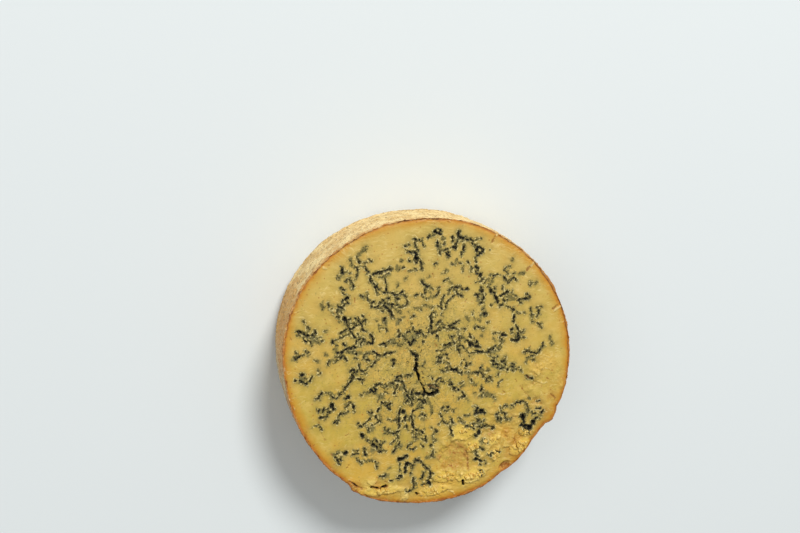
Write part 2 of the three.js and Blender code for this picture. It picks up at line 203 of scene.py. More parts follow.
        (-10.5, -47, -10.5, -49, -10, -51, -8.5, -51), (-6, -35.5, -4, -36.5, -2, -37),
        (-2, -51.5, -2, -53.5, -1.5, -55.5), (-5, -53, -4, -53.5), (-5, -57, -4, -57.5, -3, -59),
        (-15, -58, -14, -57, -12.5, -56.5), (-13, -59.5, -11, -60, -8.5, -59),
        (-33.5, -57.5, -33, -55.5, -32, -53.5, -30.5, -53), (-34, -60, -31.5, -59.5, -29.5, -60),
        (-14, -70.5, -12.5, -70), (-11, -71, -11, -73.5),
        (-5, -68.5, -4, -70.5, -3, -72.5, -2, -73.5, 0, -74.5, 1, -76.5, 3, -77.5),
        (1, -77, 1, -79, 0.5, -81), (1.5, -86.5, 1, -85), (-3.5, -76.5, -3.5, -78.5, -4, -80),
        (-6, -81.5, -5, -80.5), (-22, -79.5, -20.5, -79), (-12.5, -77, -12, -78.5),
        (-10.5, -80, -10.5, -83, -10, -86, -10.5, -87), (-8.5, -85, -8.5, -84),
        (-16, -88.5, -14, -88.5, -12, -88.5, -10.5, -87), (13, -31.5, 14.5, -32.5),
        (16.5, -34.5, 17, -35.5), (8, -36, 9, -38.5), (10.5, -42, 12.5, -43.5, 14, -43.5),
        (15.5, -40, 16, -42.5, 17, -43), (14.5, -45, 15, -47.5, 15.5, -50, 16.5, -51.5),
        (3.5, -55.5, 5.5, -55), (2, -64.5, 3, -64.5), (22.5, -42.5, 24, -43.5),
        (25, -45.5, 27, -46, 29, -46.5, 30.5, -46.5), (33, -41, 34.5, -42, 33, -43.5, 34.5, -45),
        (30, -45, 33, -44.5), (34.5, -47, 36.5, -47.5, 38.5, -46.5, 40, -46),
        (42, -46.5, 43.5, -47.5, 45, -48.5, 44, -49.5), (46.5, -38.5, 48, -39, 48.5, -37.5),
        (50.5, -41.5, 50.5, -43),
        (61.5, -31, 63.5, -31.5, 65, -30.5, 67, -31, 68, -32.5, 69, -34.5, 70, -37, 70, -39),
        (63.5, -41, 65, -40.5), (72, -38.5, 73, -40, 74.5, -40), (39, -55.5, 40, -57.5),
        (37, -62.5, 38, -63), (31.5, -63.5, 32.5, -65, 33.5, -64), (34, -68, 33, -67),
        (36, -77.5, 37, -77.5, 38, -80), (43, -66.5, 43.5, -68), (45, -66, 47, -65.5, 49, -65, 50, -64),
        (-1, -15, 1, -16.5, 3, -16), (4, -15, 5.5, -17, 7, -17.5), (1, -18.5, 4, -19, 6, -18.5),
    ],
    "thick": [
        (-47.5, 71, -46.5, 69.5), (-58, 66.5, -58.5, 64, -57.5, 61.5), (-58.5, 52.5, -56.5, 51.5),
        (-49.5, 31.5, -47.5, 30.5), (-44.5, 31, -43, 30), (-34, 61, -32, 62.5, -31, 63.5),
        (-27, 64.5, -25.5, 63.5), (-29, 51.5, -29, 50.5), (-33, 42, -31, 43, -29, 44.5, -27.5, 44.5),
        (-29, 42, -27.5, 41, -25, 40.5, -23, 40, -21.5, 40),
        (-30, 40, -28, 38, -26, 35.5, -25, 33, -23.5, 31), (-17, 79, -15.5, 79, -14, 80),
        (-15.5, 75.5, -15, 74.5, -12, 75.5, -9.5, 75.5), (-7, 71, -6, 68, -6, 65.5, -5.5, 63),
        (-14, 69.5, -13.5, 69), (-5, 55.5, -4.5, 54, -3, 53, -1.5, 51.5, -0.5, 52.5), (6.5, 90, 7, 89),
        (5, 80.5, 5, 79, 5.5, 78), (7, 74.5, 7, 72.5), (15.5, 84.5, 15.5, 81.5), (16, 79.5, 15.5, 77.5),
        (17, 78, 17, 76.5), (28.5, 79.5, 29.5, 78), (28, 82, 29.5, 81), (26, 67.5, 27, 66.5),
        (28.5, 63.5, 29, 62.5), (17, 49.5, 17, 48.5), (22, 49, 24, 48.5, 25.5, 49), (11, 37, 11, 36.5),
        (7.5, 37, 8.5, 36.5), (33, 77, 34.5, 76, 36, 75, 36, 73.5, 35, 72.5),
        (31.5, 63.5, 33, 62.5, 33.5, 61), (34.5, 59, 34, 57), (35.5, 50, 35, 48.5, 35, 46.5),
        (31.5, 44.5, 33, 44.5, 33.5, 42.5), (49, 43, 50.5, 44, 52, 45, 54, 46), (61, 31.5, 63, 31),
        (-60.5, 22, -59, 23, -57.5, 24), (-57.5, 32, -56, 30, -55, 28, -54, 27),
        (-53, 24.5, -52, 23, -51, 21.5, -50.5, 20, -49.5, 19),
        (-49.5, 31.5, -47, 29.5, -45.5, 28, -45.5, 26, -44.5, 24, -43, 23.5), (-47.5, 18, -46, 18.5),
        (-39.5, 20.5, -38.5, 18.5, -38, 16.5, -38, 14.5, -39.5, 14.5, -41, 15.5),
        (-52, -5.5, -51.5, -7, -51, -8.5, -53, -8), (-51.5, -9, -49, -9, -46, -9.5, -45.5, -10),
        (-52, -10.5, -54, -12, -56, -13.5, -57.5, -14.5), (-73, -18, -72, -17, -71.5, -18),
        (-74, -19, -74.5, -21, -76, -20.5), (-87, -7.5, -85.5, -8.5, -84, -9.5, -82, -10),
        (-75, -29, -74, -28.5), (-69.5, -28.5, -68.5, -28.5), (-68.5, -31, -67, -30.5, -64, -28.5),
        (-40, -16.5, -38.5, -17.5, -38, -19), (-36, -14, -34, -13.5, -32.5, -13.5), (-31, 30, -30, 29.5),
        (-34, 13.5, -31, 13.5, -29, 14, -29.5, 12.5), (-14.5, 21.5, -13, 21.5),
        (1, 30, 1, 28, 0.5, 26, 1.5, 24, 1.5, 22), (2, 20.5, 2.5, 19), (5, 26, 6, 27.5, 7, 28.5),
        (13, 24.5, 15, 25, 16.5, 25.5, 18, 25.5, 19, 27, 20.5, 27.5),
        (16, 22.5, 18, 22.5, 20, 22, 21, 21.5), (24, 22, 25, 22), (5.5, 17.5, 6, 16.5),
        (7.5, 5.5, 7, 3.5, 8.5, 3, 6.5, 2, 5.5, 1, 6.5, -0.5, 8, 0),
        (-34, 6.5, -31, 6.5, -29, 7.5, -27, 7.5, -25.5, 8, -24, 8.5),
        (-22.5, -10, -21.5, -9, -20, -8.5, -19, -9.5),
        (-23, -11, -21, -11.5, -19.5, -12, -18, -12.5, -17, -14),
        (-22, -14, -22, -16, -23, -18.5, -24.5, -20.5), (-17, -14.5, -16.5, -17, -15.5, -19, -14.5, -20),
        (-17, -21.5, -16.5, -22.5), (-15, -22, -14, -24, -12, -26, -11, -28),
        (-9.5, -21, -8, -22, -6.5, -22, -5, -22.5), (-7, -25, -5.5, -26, -4, -27, -3.5, -28.5),
        (-32, -25.5, -30.5, -27), (-29, -28, -27.5, -28, -26, -27),
        (13.5, -16, 15.5, -16.5, 17, -17.5, 18.5, -18.5, 20, -19.5),
        (23, -21.5, 23.5, -23, 24.5, -24.5, 22, -25), (25.5, -2, 26, -3, 25.5, -4.5),
        (28, -2.5, 28.5, -2), (28.5, 13.5, 29.5, 11.5, 31, 10, 33, 9, 35.5, 8.5), (44, 17.5, 45.5, 17.5),
        (57, 20, 57.5, 20.5), (56.5, 13, 57.5, 12.5, 58.5, 13), (59, 29.5, 58.5, 27.5, 58.5, 26),
        (60, 22, 61, 20.5, 62, 18.5), (62, 18, 64, 17.5, 65.5, 18), (61, 17, 62, 15.5, 62.5, 13.5),
        (36.5, -18.5, 36.5, -20.5, 35.5, -21), (-73.5, -34, -71.5, -33.5, -70, -33.5, -68.5, -33.5),
        (-35, -31.5, -33.5, -30.5), (-42, -51, -42, -52), (-36, -52.5, -35.5, -53.5),
        (-36.5, -56.5, -35.5, -58, -34, -59, -32.5, -60), (-34, -54.5, -33, -56.5),
        (-44, -57, -43.5, -59, -44, -61, -43, -62.5),
        (-64, -61.5, -63, -63, -62.5, -64.5, -61.5, -66, -60.5, -67), (-11, -39, -11.5, -41, -11, -43),
        (-34, -76.5, -31, -77, -30, -76), (51, -37.5, 52.5, -39, 53, -40), (75.5, -36.5, 78, -36.5),
        (30, -46.5, 30.5, -48), (33, -66.5, 33, -67), (64.5, -47.5, 66.5, -47, 68, -48.5),
        (-17, -33, -17, -32.5),
    ],
    "heavy": [
        (-58, 44, -56.5, 44.5, -55, 46), (-57.5, 34, -56.5, 32, -56, 30.5),
        (-37.5, 61, -35.5, 61.5, -33.5, 62.5), (-19.5, 48, -18.5, 49),
        (-11, 83.5, -10.5, 84, -9.5, 83, -9.5, 82),
        (-9.5, 75.5, -8.5, 73.5, -9, 72.5, -8.5, 69.5, -8.5, 68), (4, 88.5, 5, 87.5, 6.5, 87.5, 8, 86.5),
        (12.5, 74, 12, 72.5, 13, 72), (19, 88, 19, 86.5, 19.5, 84.5, 21, 84, 22.5, 83, 24, 82.5, 26, 82),
        (18.5, 81.5, 18, 79.5), (23, 79.5, 23, 77, 23, 75, 23.5, 74.5), (32.5, 75.5, 32.5, 73.5),
        (31.5, 68.5, 31.5, 67), (42, 48.5, 43, 46.5, 44.5, 46), (45, 44.5, 46, 42.5, 46.5, 41, 47, 38.5),
        (57.5, 33.5, 59, 33.5), (36, 31.5, 38, 32, 39.5, 31, 37.5, 30.5),
        (-88.5, 25, -86.5, 24.5, -84, 23, -82, 21.5, -79, 21.5, -77, 22, -75.5, 23),
        (-44.5, 18.5, -43.5, 17), (-49.5, 7.5, -49, 7),
        (-62, 9, -60, 9.5, -57.5, 10, -55.5, 11.5, -54, 12.5, -52, 13, -50.5, 13.5, -49, 12.5),
        (-53, -3.5, -52, -2.5, -51, -3), (-90.5, -7, -90, -7.5), (-85.5, -4, -84.5, -4.5),
        (-57.5, -22, -56.5, -22, -55, -21), (-66, -25.5, -65.5, -27, -67, -27.5),
        (-34.5, 27.5, -34, 26.5), (-22, 18.5, -21, 19, -20, 20.5),
        (-10.5, 21.5, -9, 21.5, -8, 21, -7, 20.5, -6.5, 21.5),
        (-14.5, 14.5, -13.5, 13.5, -12.5, 12.5, -11.5, 12, -11, 14, -10.5, 16),
        (-4.5, 14, -4, 13.5, -3.5, 14.5), (10, 11, 11.5, 10.5), (26.5, 13.5, 28, 12, 28.5, 10),
        (-24.5, 2.5, -23, 1.5, -24.5, -1), (-30.5, -26, -29, -26.5),
        (15.5, -5, 17, -5, 18.5, -6.5, 19, -5), (41.5, 6, 43, 6.5, 44.5, 7.5),
        (50.5, 16.5, 52, 16, 53, 16), (58, 25.5, 58.5, 24), (59.5, 13, 61, 12.5, 62.5, 13),
        (72.5, -2.5, 73, -3), (43.5, -1, 45, -1.5), (50, -1.5, 51, -2.5, 52.5, -2),
        (31.5, -8.5, 33, -8.5, 34.5, -8.5), (-47, -42, -46, -42.5), (-46, -47, -45.5, -48),
        (-38, -55, -38, -55.5), (-58, -60, -56, -59.5), (-16, -36.5, -16.5, -38),
        (-12.5, -36.5, -12, -38), (-20, -66.5, -18.5, -66, -17, -65, -15.5, -64.5),
        (-15, -70, -16, -71.5, -16.5, -73.5, -16.5, -75.5), (-9, -69, -7.5, -68.5, -6.5, -68.5),
        (-20.5, -78, -19.5, -78), (-1.5, -83, -0.5, -82.5, 0.5, -84.5, -1, -84.5),
        (8.5, -32, 9.5, -32.5, 10.5, -31.5), (4.5, -46.5, 5, -48), (2.5, -57.5, 2.5, -59),
        (31.5, -37.5, 33, -35.5, 34, -33.5), (32, -37, 34, -36.5, 36, -35.5, 38.5, -37.5),
        (34.5, -49.5, 33.5, -51.5, 32.5, -53), (48, -41, 48.5, -43.5), (79.5, -39.5, 80.5, -38),
        (35.5, -61.5, 37, -61.5), (32.5, -69, 33.5, -70, 35, -70.5, 36.5, -71.5, 39, -71),
        (-12.5, 8, -11, 6.5, -9.5, 7, -9, 5, -9, 3, -9, 1.5), (-8.5, -0.5, -8.5, -2, -9, -4),
        (-3, -20.5, -3.5, -22.5), (-1.5, -21, 0, -22, 2, -22, 4, -21.5, 6.5, -20.5),
        (64.5, -40.6, 66, -40.5, 68, -40.2), (66, -41.5, 66.5, -43.5, 67.2, -45),
        (65.5, -47, 67, -47.3, 69.5, -48.2), (67.5, -50, 69.5, -49.8),
        (75.3, -42.8, 74.8, -45, 73.5, -47), (70.8, -51, 70.5, -53),
    ],
    "clot": [
        (66.3, -41.8, 66.5, -42.6), (74.3, -45.3, 73.2, -46.8, 72, -48.5, 71, -50, 70.7, -51.3),
    ],
}

# Open cracks: x, y and half width along each
cracks = [
    [
        (-9, 1.5, 0.6), (-8.5, -2, 0.8), (-9, -4, 0.8), (-7.8, -7, 0.5), (-7, -9, 0.7), (-6.5, -11, 0.6),
        (-5, -14, 0.45), (-3.8, -17.5, 0.45), (-3, -20.5, 0.6),
    ],
    [
        (-3.5, -20.5, 0.3), (-1.5, -21, 0.6), (0.5, -22, 0.8), (3, -21.4, 0.6), (5, -20.3, 0.6),
        (7, -19.3, 0.3),
    ],
    [(-53, -80.5, 0.2), (-51, -82, 0.3), (-49, -83.5, 0.2)],
    [(-40, -84.3, 0.2), (-38, -84.3, 0.5), (-35.5, -85.5, 0.5)],
    [(-33.5, -86, 0.3), (-32, -85, 0.7), (-29.5, -84.7, 0.6)],
    [(23.2, -83.8, 0.3), (23.8, -85.5, 0.7), (24.6, -87.8, 0.4)],
    [(-8.6, -91, 0.5), (-7.7, -92.3, 0.6)],
]

# Small marks of the cut face: x, y and half width along each
brownMarks = [
    [(44.5, 84, 0.5), (42.8, 80.3, 0.9), (42, 79.5, 0.5)],
    [(71, 64, 0.6), (67.8, 61.5, 1.1), (67, 60, 0.7)],
    [(89, 35.5, 0.6), (86, 33, 0.9)],
    [(85.5, -26.5, 0.4), (87.5, -28.5, 0.8), (89, -30, 0.4)],
    [(-8.3, -91.5, 0.7), (-7.7, -92, 0.5)],
    [(23.3, -84, 0.5), (24, -86, 0.7), (24.5, -87.5, 0.4)],
    [(27.5, -66.5, 0.4), (27.3, -70, 0.6), (27.5, -74, 0.7), (27.3, -77, 0.5)],
    [(-54, -79.5, 0.5), (-51.5, -81.7, 0.9), (-49, -83.6, 0.9), (-46, -84.9, 0.6)],
    [(-41, -84, 0.4), (-38, -84.4, 0.8), (-35, -85.6, 0.8), (-31, -85.4, 0.9), (-28, -84.4, 0.5)],
    [(51, -76.5, 0.7), (53, -75, 1.3), (55.5, -75.3, 1.2), (57, -76, 0.5)],
    [(60, -57, 0.5), (61.5, -60, 0.6), (62, -63, 0.3)],
    [(82.5, -15, 0.5), (83.5, -16, 0.4)],
    [(68.5, -13, 0.5), (70, -14.5, 0.4)],
    [(-92.5, 21, 0.5), (-92, 19.5, 0.4)],
    [(-50, 46, 0.3), (-50, 43, 0.3)],
    [(4, 13, 0.4), (5, 11, 0.6)],
    [(-74.5, -37, 0.4), (-74, -38, 0.3)],
    [(-73, -44.5, 0.3), (-72.3, -46.8, 0.4)],
    [(-70.5, -49.3, 0.5), (-70, -50, 0.3)],
    [(-56.5, -47.5, 0.4), (-55.5, -46.8, 0.3)],
    [(-54.5, -68, 0.4), (-56, -70, 0.5)],
    [(-66.5, -59.5, 0.5), (-66, -60.5, 0.4)],
    [(-30, -81.5, 0.4), (-29, -82, 0.4)],
    [(26, -63.5, 0.5), (26.5, -64.5, 0.3)],
    [(53.5, -54, 0.4), (54.5, -55, 0.5)],
    [(60.5, -15, 0.5), (61, -16, 0.3)],
    [(65, -19, 0.25), (65, -21.5, 0.3), (66.5, -24, 0.25), (68, -25.5, 0.3), (70, -27, 0.25)],
    [(2, 60.5, 0.25), (3, 58, 0.25)],
    [(59, -41.5, 0.4), (62, -41, 0.3)],
    [(-77.5, -15.5, 0.3), (-77, -16, 0.3)],
    [(-1, -17.5, 0.3), (2, -16, 0.5), (4.5, -17.5, 0.5), (7, -18, 0.3)],
    [(14, -73, 0.4), (16, -74, 0.5), (18, -73.5, 0.3)],
    [(51, -22, 0.3), (53, -24, 0.4), (50, -24.5, 0.3)],
]
paleMarks = [
    [(47.5, 87.5, 1.0), (45.5, 84.5, 0.9)],
    [(72, 66, 0.9), (70, 63, 0.8)],
    [(91, 34.5, 0.9), (87, 32, 0.8)],
    [(12, 95, 0.5), (14, 94.5, 0.4)],
    [(-70, 66.5, 1.0), (-68.5, 66, 0.8)],
    [(-94, -20, 0.6), (-93.5, -21, 0.5)],
    [(-91, -26, 0.6), (-90.5, -27, 0.5)],
    [(14, -91, 0.5), (17, -92, 0.7), (18, -94, 0.5)],
    [(-31, 61, 0.5), (-27, 62.5, 0.4)],
    [(-44, -41, 0.4), (-40, -43, 0.4)],
    [(18, -19.5, 0.5), (21, -19, 0.3)],
    [(-62, 35, 0.3), (-57, 35.5, 0.4)],
    [(-52, 24, 0.3), (-46, 26, 0.4)],
    [(-17, 46, 0.3), (-12, 46.5, 0.3)],
    [(-42, -43, 0.4), (-39, -40, 0.4), (-37, -38, 0.3)],
    [(-61, -60.5, 0.6), (-58, -61, 0.4)],
    [(24, -4, 0.4), (28, -6, 0.3)],
    [(70.5, -52.5, 0.7), (72, -53.5, 0.8)],
    [(80, 1, 0.3), (84, -0.5, 0.4), (87, 0.5, 0.3)],
    [(78, -9, 0.4), (82, -8, 0.3), (85, -9, 0.4)],
    [(76, -17, 0.4), (79, -18.5, 0.5), (83, -18, 0.3)],
    [(48, -24, 0.4), (52, -25, 0.5), (57, -24, 0.3)],
]

# Grey smoke of mould between the lines: x, y and radius
smudges = [
    (-46, 16, 6), (-43, 6, 4), (-52, 10, 4), (-11, 17, 6), (-25, 15.5, 5), (-17, 19, 4),
    (-21.5, 28.5, 3.5), (-30, 29, 3), (-20, -11.5, 4), (-14, -23, 6), (-18, -17, 4), (-6, -29, 5),
    (-3, -25, 3.5), (3, -17.5, 5), (26, -8, 3.5), (21, -7, 3), (33, -36, 4.5), (35, -45, 5), (30, -45, 4),
    (49, -42, 4), (45, 5.5, 4), (20, 21, 3.5), (17, 12.5, 3.5), (7, 1.5, 3.5), (50, -6, 5), (58, -6, 4),
    (46, -2, 4), (-20, -57, 4), (16, -44, 4), (37, -57, 3.5), (-30, -77.5, 4), (19, 82, 4.5), (-2, 52, 4),
    (-33, -22, 5), (-39, -44, 4.5), (-39, -59, 4.5), (-77, 19.5, 5), (-86, -8, 4), (34, 42, 4),
    (39, -24, 4), (-29, 40, 5), (-36, 54, 4), (-52, 53, 3), (36, 31, 3.5), (61, 15, 4.5), (-9, 73, 4.5),
    (6, 79, 4), (-60, 38, 4),
]

# Orange-brown stains of the worn edge and the dents
stains = [
    (61, -58, 8), (57, -67, 7), (66, -66, 6), (54, -52, 6), (22, -73, 6), (11, -72, 5), (82, -40, 6),
    (86, -28, 5), (63, -70, 5), (-50, -83, 5), (-36, -84, 5),
]

# Broken ground: ovals given by their place, half sizes, turn, how far they stand up in mm and how many
# crumbs lie on them
crumbled = [
    {"place": (38, -60), "size": (50, 31), "turn": 30},
    {"place": (-24, -87), "size": (44, 12), "turn": -4},
    {"place": (80, -18), "size": (24, 20), "turn": 70},
]
lumps = [
    {"place": (23.5, -49.5), "size": (9, 6), "turn": 12, "height": 1.5, "crumbs": 16},
    {"place": (31, -60), "size": (5, 3.5), "turn": 50, "height": 1.3, "crumbs": 18},
    {"place": (45, -56), "size": (7, 4), "turn": 20, "height": 0.8, "crumbs": 12},
    {"place": (64, -62.5), "size": (7.5, 4), "turn": 38, "height": 1.6, "crumbs": 38},
    {"place": (67, -52.5), "size": (4, 2.6), "turn": 15, "height": 1.1, "crumbs": 9},
    {"place": (11, -80), "size": (9, 4.5), "turn": 6, "height": 1.1, "crumbs": 16},
    {"place": (30, -80.5), "size": (11, 5), "turn": 12, "height": 1.2, "crumbs": 28},
    {"place": (48, -66), "size": (6, 4), "turn": 60, "height": 0.9, "crumbs": 16},
    {"place": (4, -90), "size": (12, 4), "turn": 4, "height": 0.9, "crumbs": 12},
    {"place": (-33, -87.5), "size": (20, 3), "turn": 3, "height": 0.9, "crumbs": 26},
]
scoops = [
    {"place": (17, -66), "size": (10, 9), "turn": 0, "height": -1.5},
    {"place": (53.5, -75.5), "size": (4.5, 2.2), "turn": 35, "height": -1.8},
    {"place": (40, -50), "size": (8, 4), "turn": -20, "height": -0.8},
    {"place": (74, -30), "size": (8, 4), "turn": -30, "height": -0.6},
]


def smooth(value, low, high):
    # Smooth step from 0 at low to 1 at high
    share = np.clip((value - low) / (high - low), 0, 1)
    return share * share * (3 - 2 * share)


def outline(angle, z):
    # Radius in mm of the drum at an angle in radians and a height in mm
    top, lip = drum["height"], drum["lip"]
    deg = np.degrees(angle)
    waves = sum(h * np.cos(n * (angle - math.radians(peak))) for n, h, peak in drum["waves"])
    radius = drum["radius"] + waves
    lipShare = smooth(deg, lip["from"], lip["peak"]) * (1 - smooth(deg, lip["peak"], lip["to"]))
    radius = radius - np.interp(deg, *zip(*drum["wear"])) * smooth(z, top - drum["wearReach"], top)
    return radius + lip["height"] * lipShare * smooth(z, top - lip["reach"], top)


mould = {
    "halfWidth": {"faint": 0.5, "thin": 0.36, "plain": 0.5, "thick": 0.65, "heavy": 0.84, "clot": 1.35},
    "step": 0.7,             # length of one link of a line, in mm
    "bends": [(5, 0.9), (1.7, 0.6), (0.75, 0.4)],  # size of the bends and how far they reach
    "uneven": 1.25,          # how much a line swells and thins
    "swellSize": 1.6,
    "thinnest": 0.25,        # share of its width that a line always keeps
    "twigEvery": 4,
    "twigLength": (0.8, 2.4),
    "twigHalfWidth": 0.33,
    "twigTurn": 0.4,         # how far a twig turns at each link, in radians
    "strays": 60,            # short faint lines of their own between the rest
    "strayLength": (0.8, 3),
    "strayReach": 86,        # how far from the middle a stray may lie
}

# The clouds that bend the lines come out alike each time only with a seed of their own
perlin.seed_set(17)


def strayed(x, y, bend):
    # A place in mm moved about by clouds of the given size
    size, reach = bend
    push = perlin.noise_vector(Vector((x / size, y / size, 3.7)))
    return x + push[0] * reach, y + push[1] * reach


def thickness(x, y):
    # Share of its width that a line has at a place
    size = mould["swellSize"]
    swell = perlin.noise(Vector((x / size, y / size, 7.0)))
    return max(mould["thinnest"], 1 + mould["uneven"] * swell)


def twigAt(x, y, lengths):
    # A short bent line that sets off anywhere and thins out to its end
    heading = random.uniform(0, 2 * math.pi)
    count = max(2, round(random.uniform(*lengths) / mould["step"]))
    points = []
    for i in range(count + 1):
        points.append((x, y, mould["twigHalfWidth"] * (1 - 0.5 * i / count)))
        heading += random.gauss(0, mould["twigTurn"])
        x += math.cos(heading) * mould["step"]
        y += math.sin(heading) * mould["step"]
    return points


def roughened(line):
    # A line of (x, y, half width) cut into short uneven links
    links = []
    for (ax, ay, aw), (bx, by, bw) in zip(line, line[1:]):
        count = max(1, round(math.hypot(bx - ax, by - ay) / mould["step"]))
        for i in range(count + 1):
            share = i / count
            x, y = ax + (bx - ax) * share, ay + (by - ay) * share
            width = (aw + (bw - aw) * share) * thickness(x, y)
            for bend in mould["bends"]:
                x, y = strayed(x, y, bend)
            links.append((x, y, width))
    return links


def growMould():
    # Dark lines and faint ones, each a list of (x, y, half width)
    random.seed(31)
    dark, faint = [], []
    for weight, strokes in blue.items():
        half = mould["halfWidth"][weight]
        for stroke in strokes:
            line = roughened([(x, y, half) for x, y in zip(stroke[::2], stroke[1::2])])
            (faint if weight == "faint" else dark).append(line)
            for x, y, width in line:
                if random.random() < mould["step"] / mould["twigEvery"]:
                    twig = twigAt(x, y, mould["twigLength"])
                    (dark if random.random() < 0.5 else faint).append(twig)
    for i in range(mould["strays"]):
        angle = random.uniform(0, 2 * math.pi)
        reach = mould["strayReach"] * math.sqrt(random.random())
        x, y = reach * math.cos(angle), reach * math.sin(angle)
        # Few strays in the crumbled ground and near the rim
        if random.random() >= patchShare(crumbled[0], x, y) * 1.5 + smooth(reach, 60, 90):
            faint.append(twigAt(x, y, mould["strayLength"]))
    return dark, faint


def inkAt(lines, x, y, reach):
    # How far each place lies inside a line in mm, less than 0 outside it, down to -reach
    ink = np.full(len(x), -float(reach))
    for line in lines:
        spots = np.array(line)[:, :2]
        low, high = spots.min(0) - reach - 1, spots.max(0) + reach + 1
        close = np.nonzero((x > low[0]) & (x < high[0]) & (y > low[1]) & (y < high[1]))[0]
        px, py = x[close], y[close]
        best = ink[close]
        for (ax, ay, aw), (bx, by, bw) in zip(line, line[1:]):
            dx, dy = bx - ax, by - ay
            along = np.clip(((px - ax) * dx + (py - ay) * dy) / (dx * dx + dy * dy + 1e-9), 0, 1)
            width = aw + (bw - aw) * along
            best = np.maximum(best, width - np.hypot(px - ax - along * dx, py - ay - along * dy))
        ink[close] = best
    return ink


def fromMiddle(patch, x, y):
    # 0 in the middle of an oval patch, 1 on its edge
    turn = math.radians(patch["turn"])
    dx, dy = x - patch["place"][0], y - patch["place"][1]
    across = (dx * math.cos(turn) + dy * math.sin(turn)) / patch["size"][0]
    along = (dy * math.cos(turn) - dx * math.sin(turn)) / patch["size"][1]
    return np.hypot(across, along)


def patchShare(patch, x, y):
    # 1 in the middle of an oval patch, 0 from its edge out
    return 1 - smooth(fromMiddle(patch, x, y), 0.45, 1)


def looseShare(x, y):
    # 1 in the middle of the broken ground, 0 outside it
    return np.maximum.reduce([patchShare(patch, x, y) for patch in crumbled])


def heightsAt(patches, x, y):
    # Height in mm of each patch at a place: a little more in its middle, 0 some way outside its edge
    return [(1.4 - fromMiddle(patch, x, y)) * patch["height"] for patch in patches]


def spotShare(spots, x, y):
    # 1 in the middle of a round spot, 0 on its edge, less outside
    shares = [1 - np.hypot(x - sx, y - sy) / radius for sx, sy, radius in spots]
    return np.maximum(np.maximum.reduce(shares), -1)


# Small helpers for modelling by operators

def deselect():
    bpy.ops.object.select_all(action="DESELECT")


def pick(piece):
    deselect()
    bpy.context.view_layer.objects.active = piece
    piece.select_set(True)


def startRing(name, count, radius, z):
    deselect()
    bpy.ops.mesh.primitive_circle_add(vertices=count, radius=radius * mm, location=(0, 0, z * mm))
    ring = bpy.context.object
    ring.name = name
    ring.data.name = name
    bpy.ops.object.transform_apply(location=True, rotation=True, scale=True)
    bpy.ops.object.mode_set(mode="EDIT")
    bpy.ops.mesh.select_all(action="SELECT")
    return ring


def selectBorder():
    bpy.ops.mesh.select_all(action="DESELECT")
    bpy.ops.mesh.select_mode(type="EDGE")
    bpy.ops.mesh.select_non_manifold()


def extrudeRings(start, steps):
    # Extrudes the selected ring through a list of (radius, z) in mm
    radius, z = start
    for nextRadius, nextZ in steps:
        bpy.ops.mesh.extrude_region_move(TRANSFORM_OT_translate={"value": (0, 0, (nextZ - z) * mm)})
        if nextRadius != radius:
            share = nextRadius / radius
            bpy.ops.transform.resize(value=(share, share, 1), center_override=(0, 0, nextZ * mm))
        radius, z = nextRadius, nextZ


def editFacets(piece, chosen):
    # Opens a piece in edit mode with only the chosen facets selected
    piece.data.polygons.foreach_set("select", chosen)
    bpy.ops.object.mode_set(mode="EDIT")
    bpy.ops.mesh.select_mode(type="FACE")


def leaveEdit():
    bpy.ops.mesh.select_all(action="DESELECT")
    bpy.ops.object.mode_set(mode="OBJECT")


def closeShell():
    # Turns all facets of a finished shell outward
    bpy.ops.mesh.select_all(action="SELECT")
    bpy.ops.mesh.normals_make_consistent(inside=False)
    leaveEdit()


def places(piece):
    # Vertices of a piece in mm, as three arrays
    flat = np.empty(len(piece.data.vertices) * 3, dtype=np.float32)
    piece.data.vertices.foreach_get("co", flat)
    flat = flat.reshape(-1, 3).astype(float) / mm
    return flat[:, 0], flat[:, 1], flat[:, 2]


def setPlaces(piece, x, y, z):
    flat = np.stack([x, y, z], -1).astype(np.float32) * mm
    piece.data.vertices.foreach_set("co", flat.ravel())
    piece.data.update()


def facetMiddles(piece):
    # Middles of a piece's facets in mm, as three arrays
    flat = np.empty(len(piece.data.polygons) * 3, dtype=np.float32)
    piece.data.polygons.foreach_get("center", flat)
    return (flat.reshape(-1, 3) / mm).T


def fromRim(x, y, z):
    # How far inside the drum's outline a place lies, in mm
    return outline(np.arctan2(y, x), z) - np.hypot(x, y)


def paint(piece, name, values):
    # Writes a value for each vertex that materials and modifiers read by name
    layer = piece.data.attributes.new(name, "FLOAT", "POINT")
    layer.data.foreach_set("value", np.asarray(values, dtype=np.float32))


def fitOutline(piece):
    # Moves rings of the drum's mean radius to its real outline
    x, y, z = places(piece)
    swollen = drum["barrel"] * np.sin(math.pi * np.clip(z, 0, drum["height"]) / drum["height"])
    share = (outline(np.arctan2(y, x), z) + swollen) / drum["radius"]
    setPlaces(piece, x * share, y * share, z)


# Sums and products of node sockets, the same way in a material and in geometry nodes

class Wire:
    def __init__(self, tree, socket):
        self.tree = tree
        self.socket = socket

    def __add__(self, other):
        return calc("ADD", self, other)

    def __sub__(self, other):
        return calc("SUBTRACT", self, other)

    def __rsub__(self, other):
        return calc("SUBTRACT", other, self)

    def __mul__(self, other):
        return calc("MULTIPLY", self, other)


def plug(tree, socket, value):
    if isinstance(value, Wire):
        tree.links.new(value.socket, socket)
    else:
        socket.default_value = value


def treeOf(*values):
    return next(value.tree for value in values if isinstance(value, Wire))


def calc(operation, *values, clamp=False):
    tree = treeOf(*values)
    node = tree.nodes.new("ShaderNodeMath")
    node.operation = operation
    node.use_clamp = clamp
    for socket, value in zip(node.inputs, values):
        plug(tree, socket, value)
    return Wire(tree, node.outputs[0])


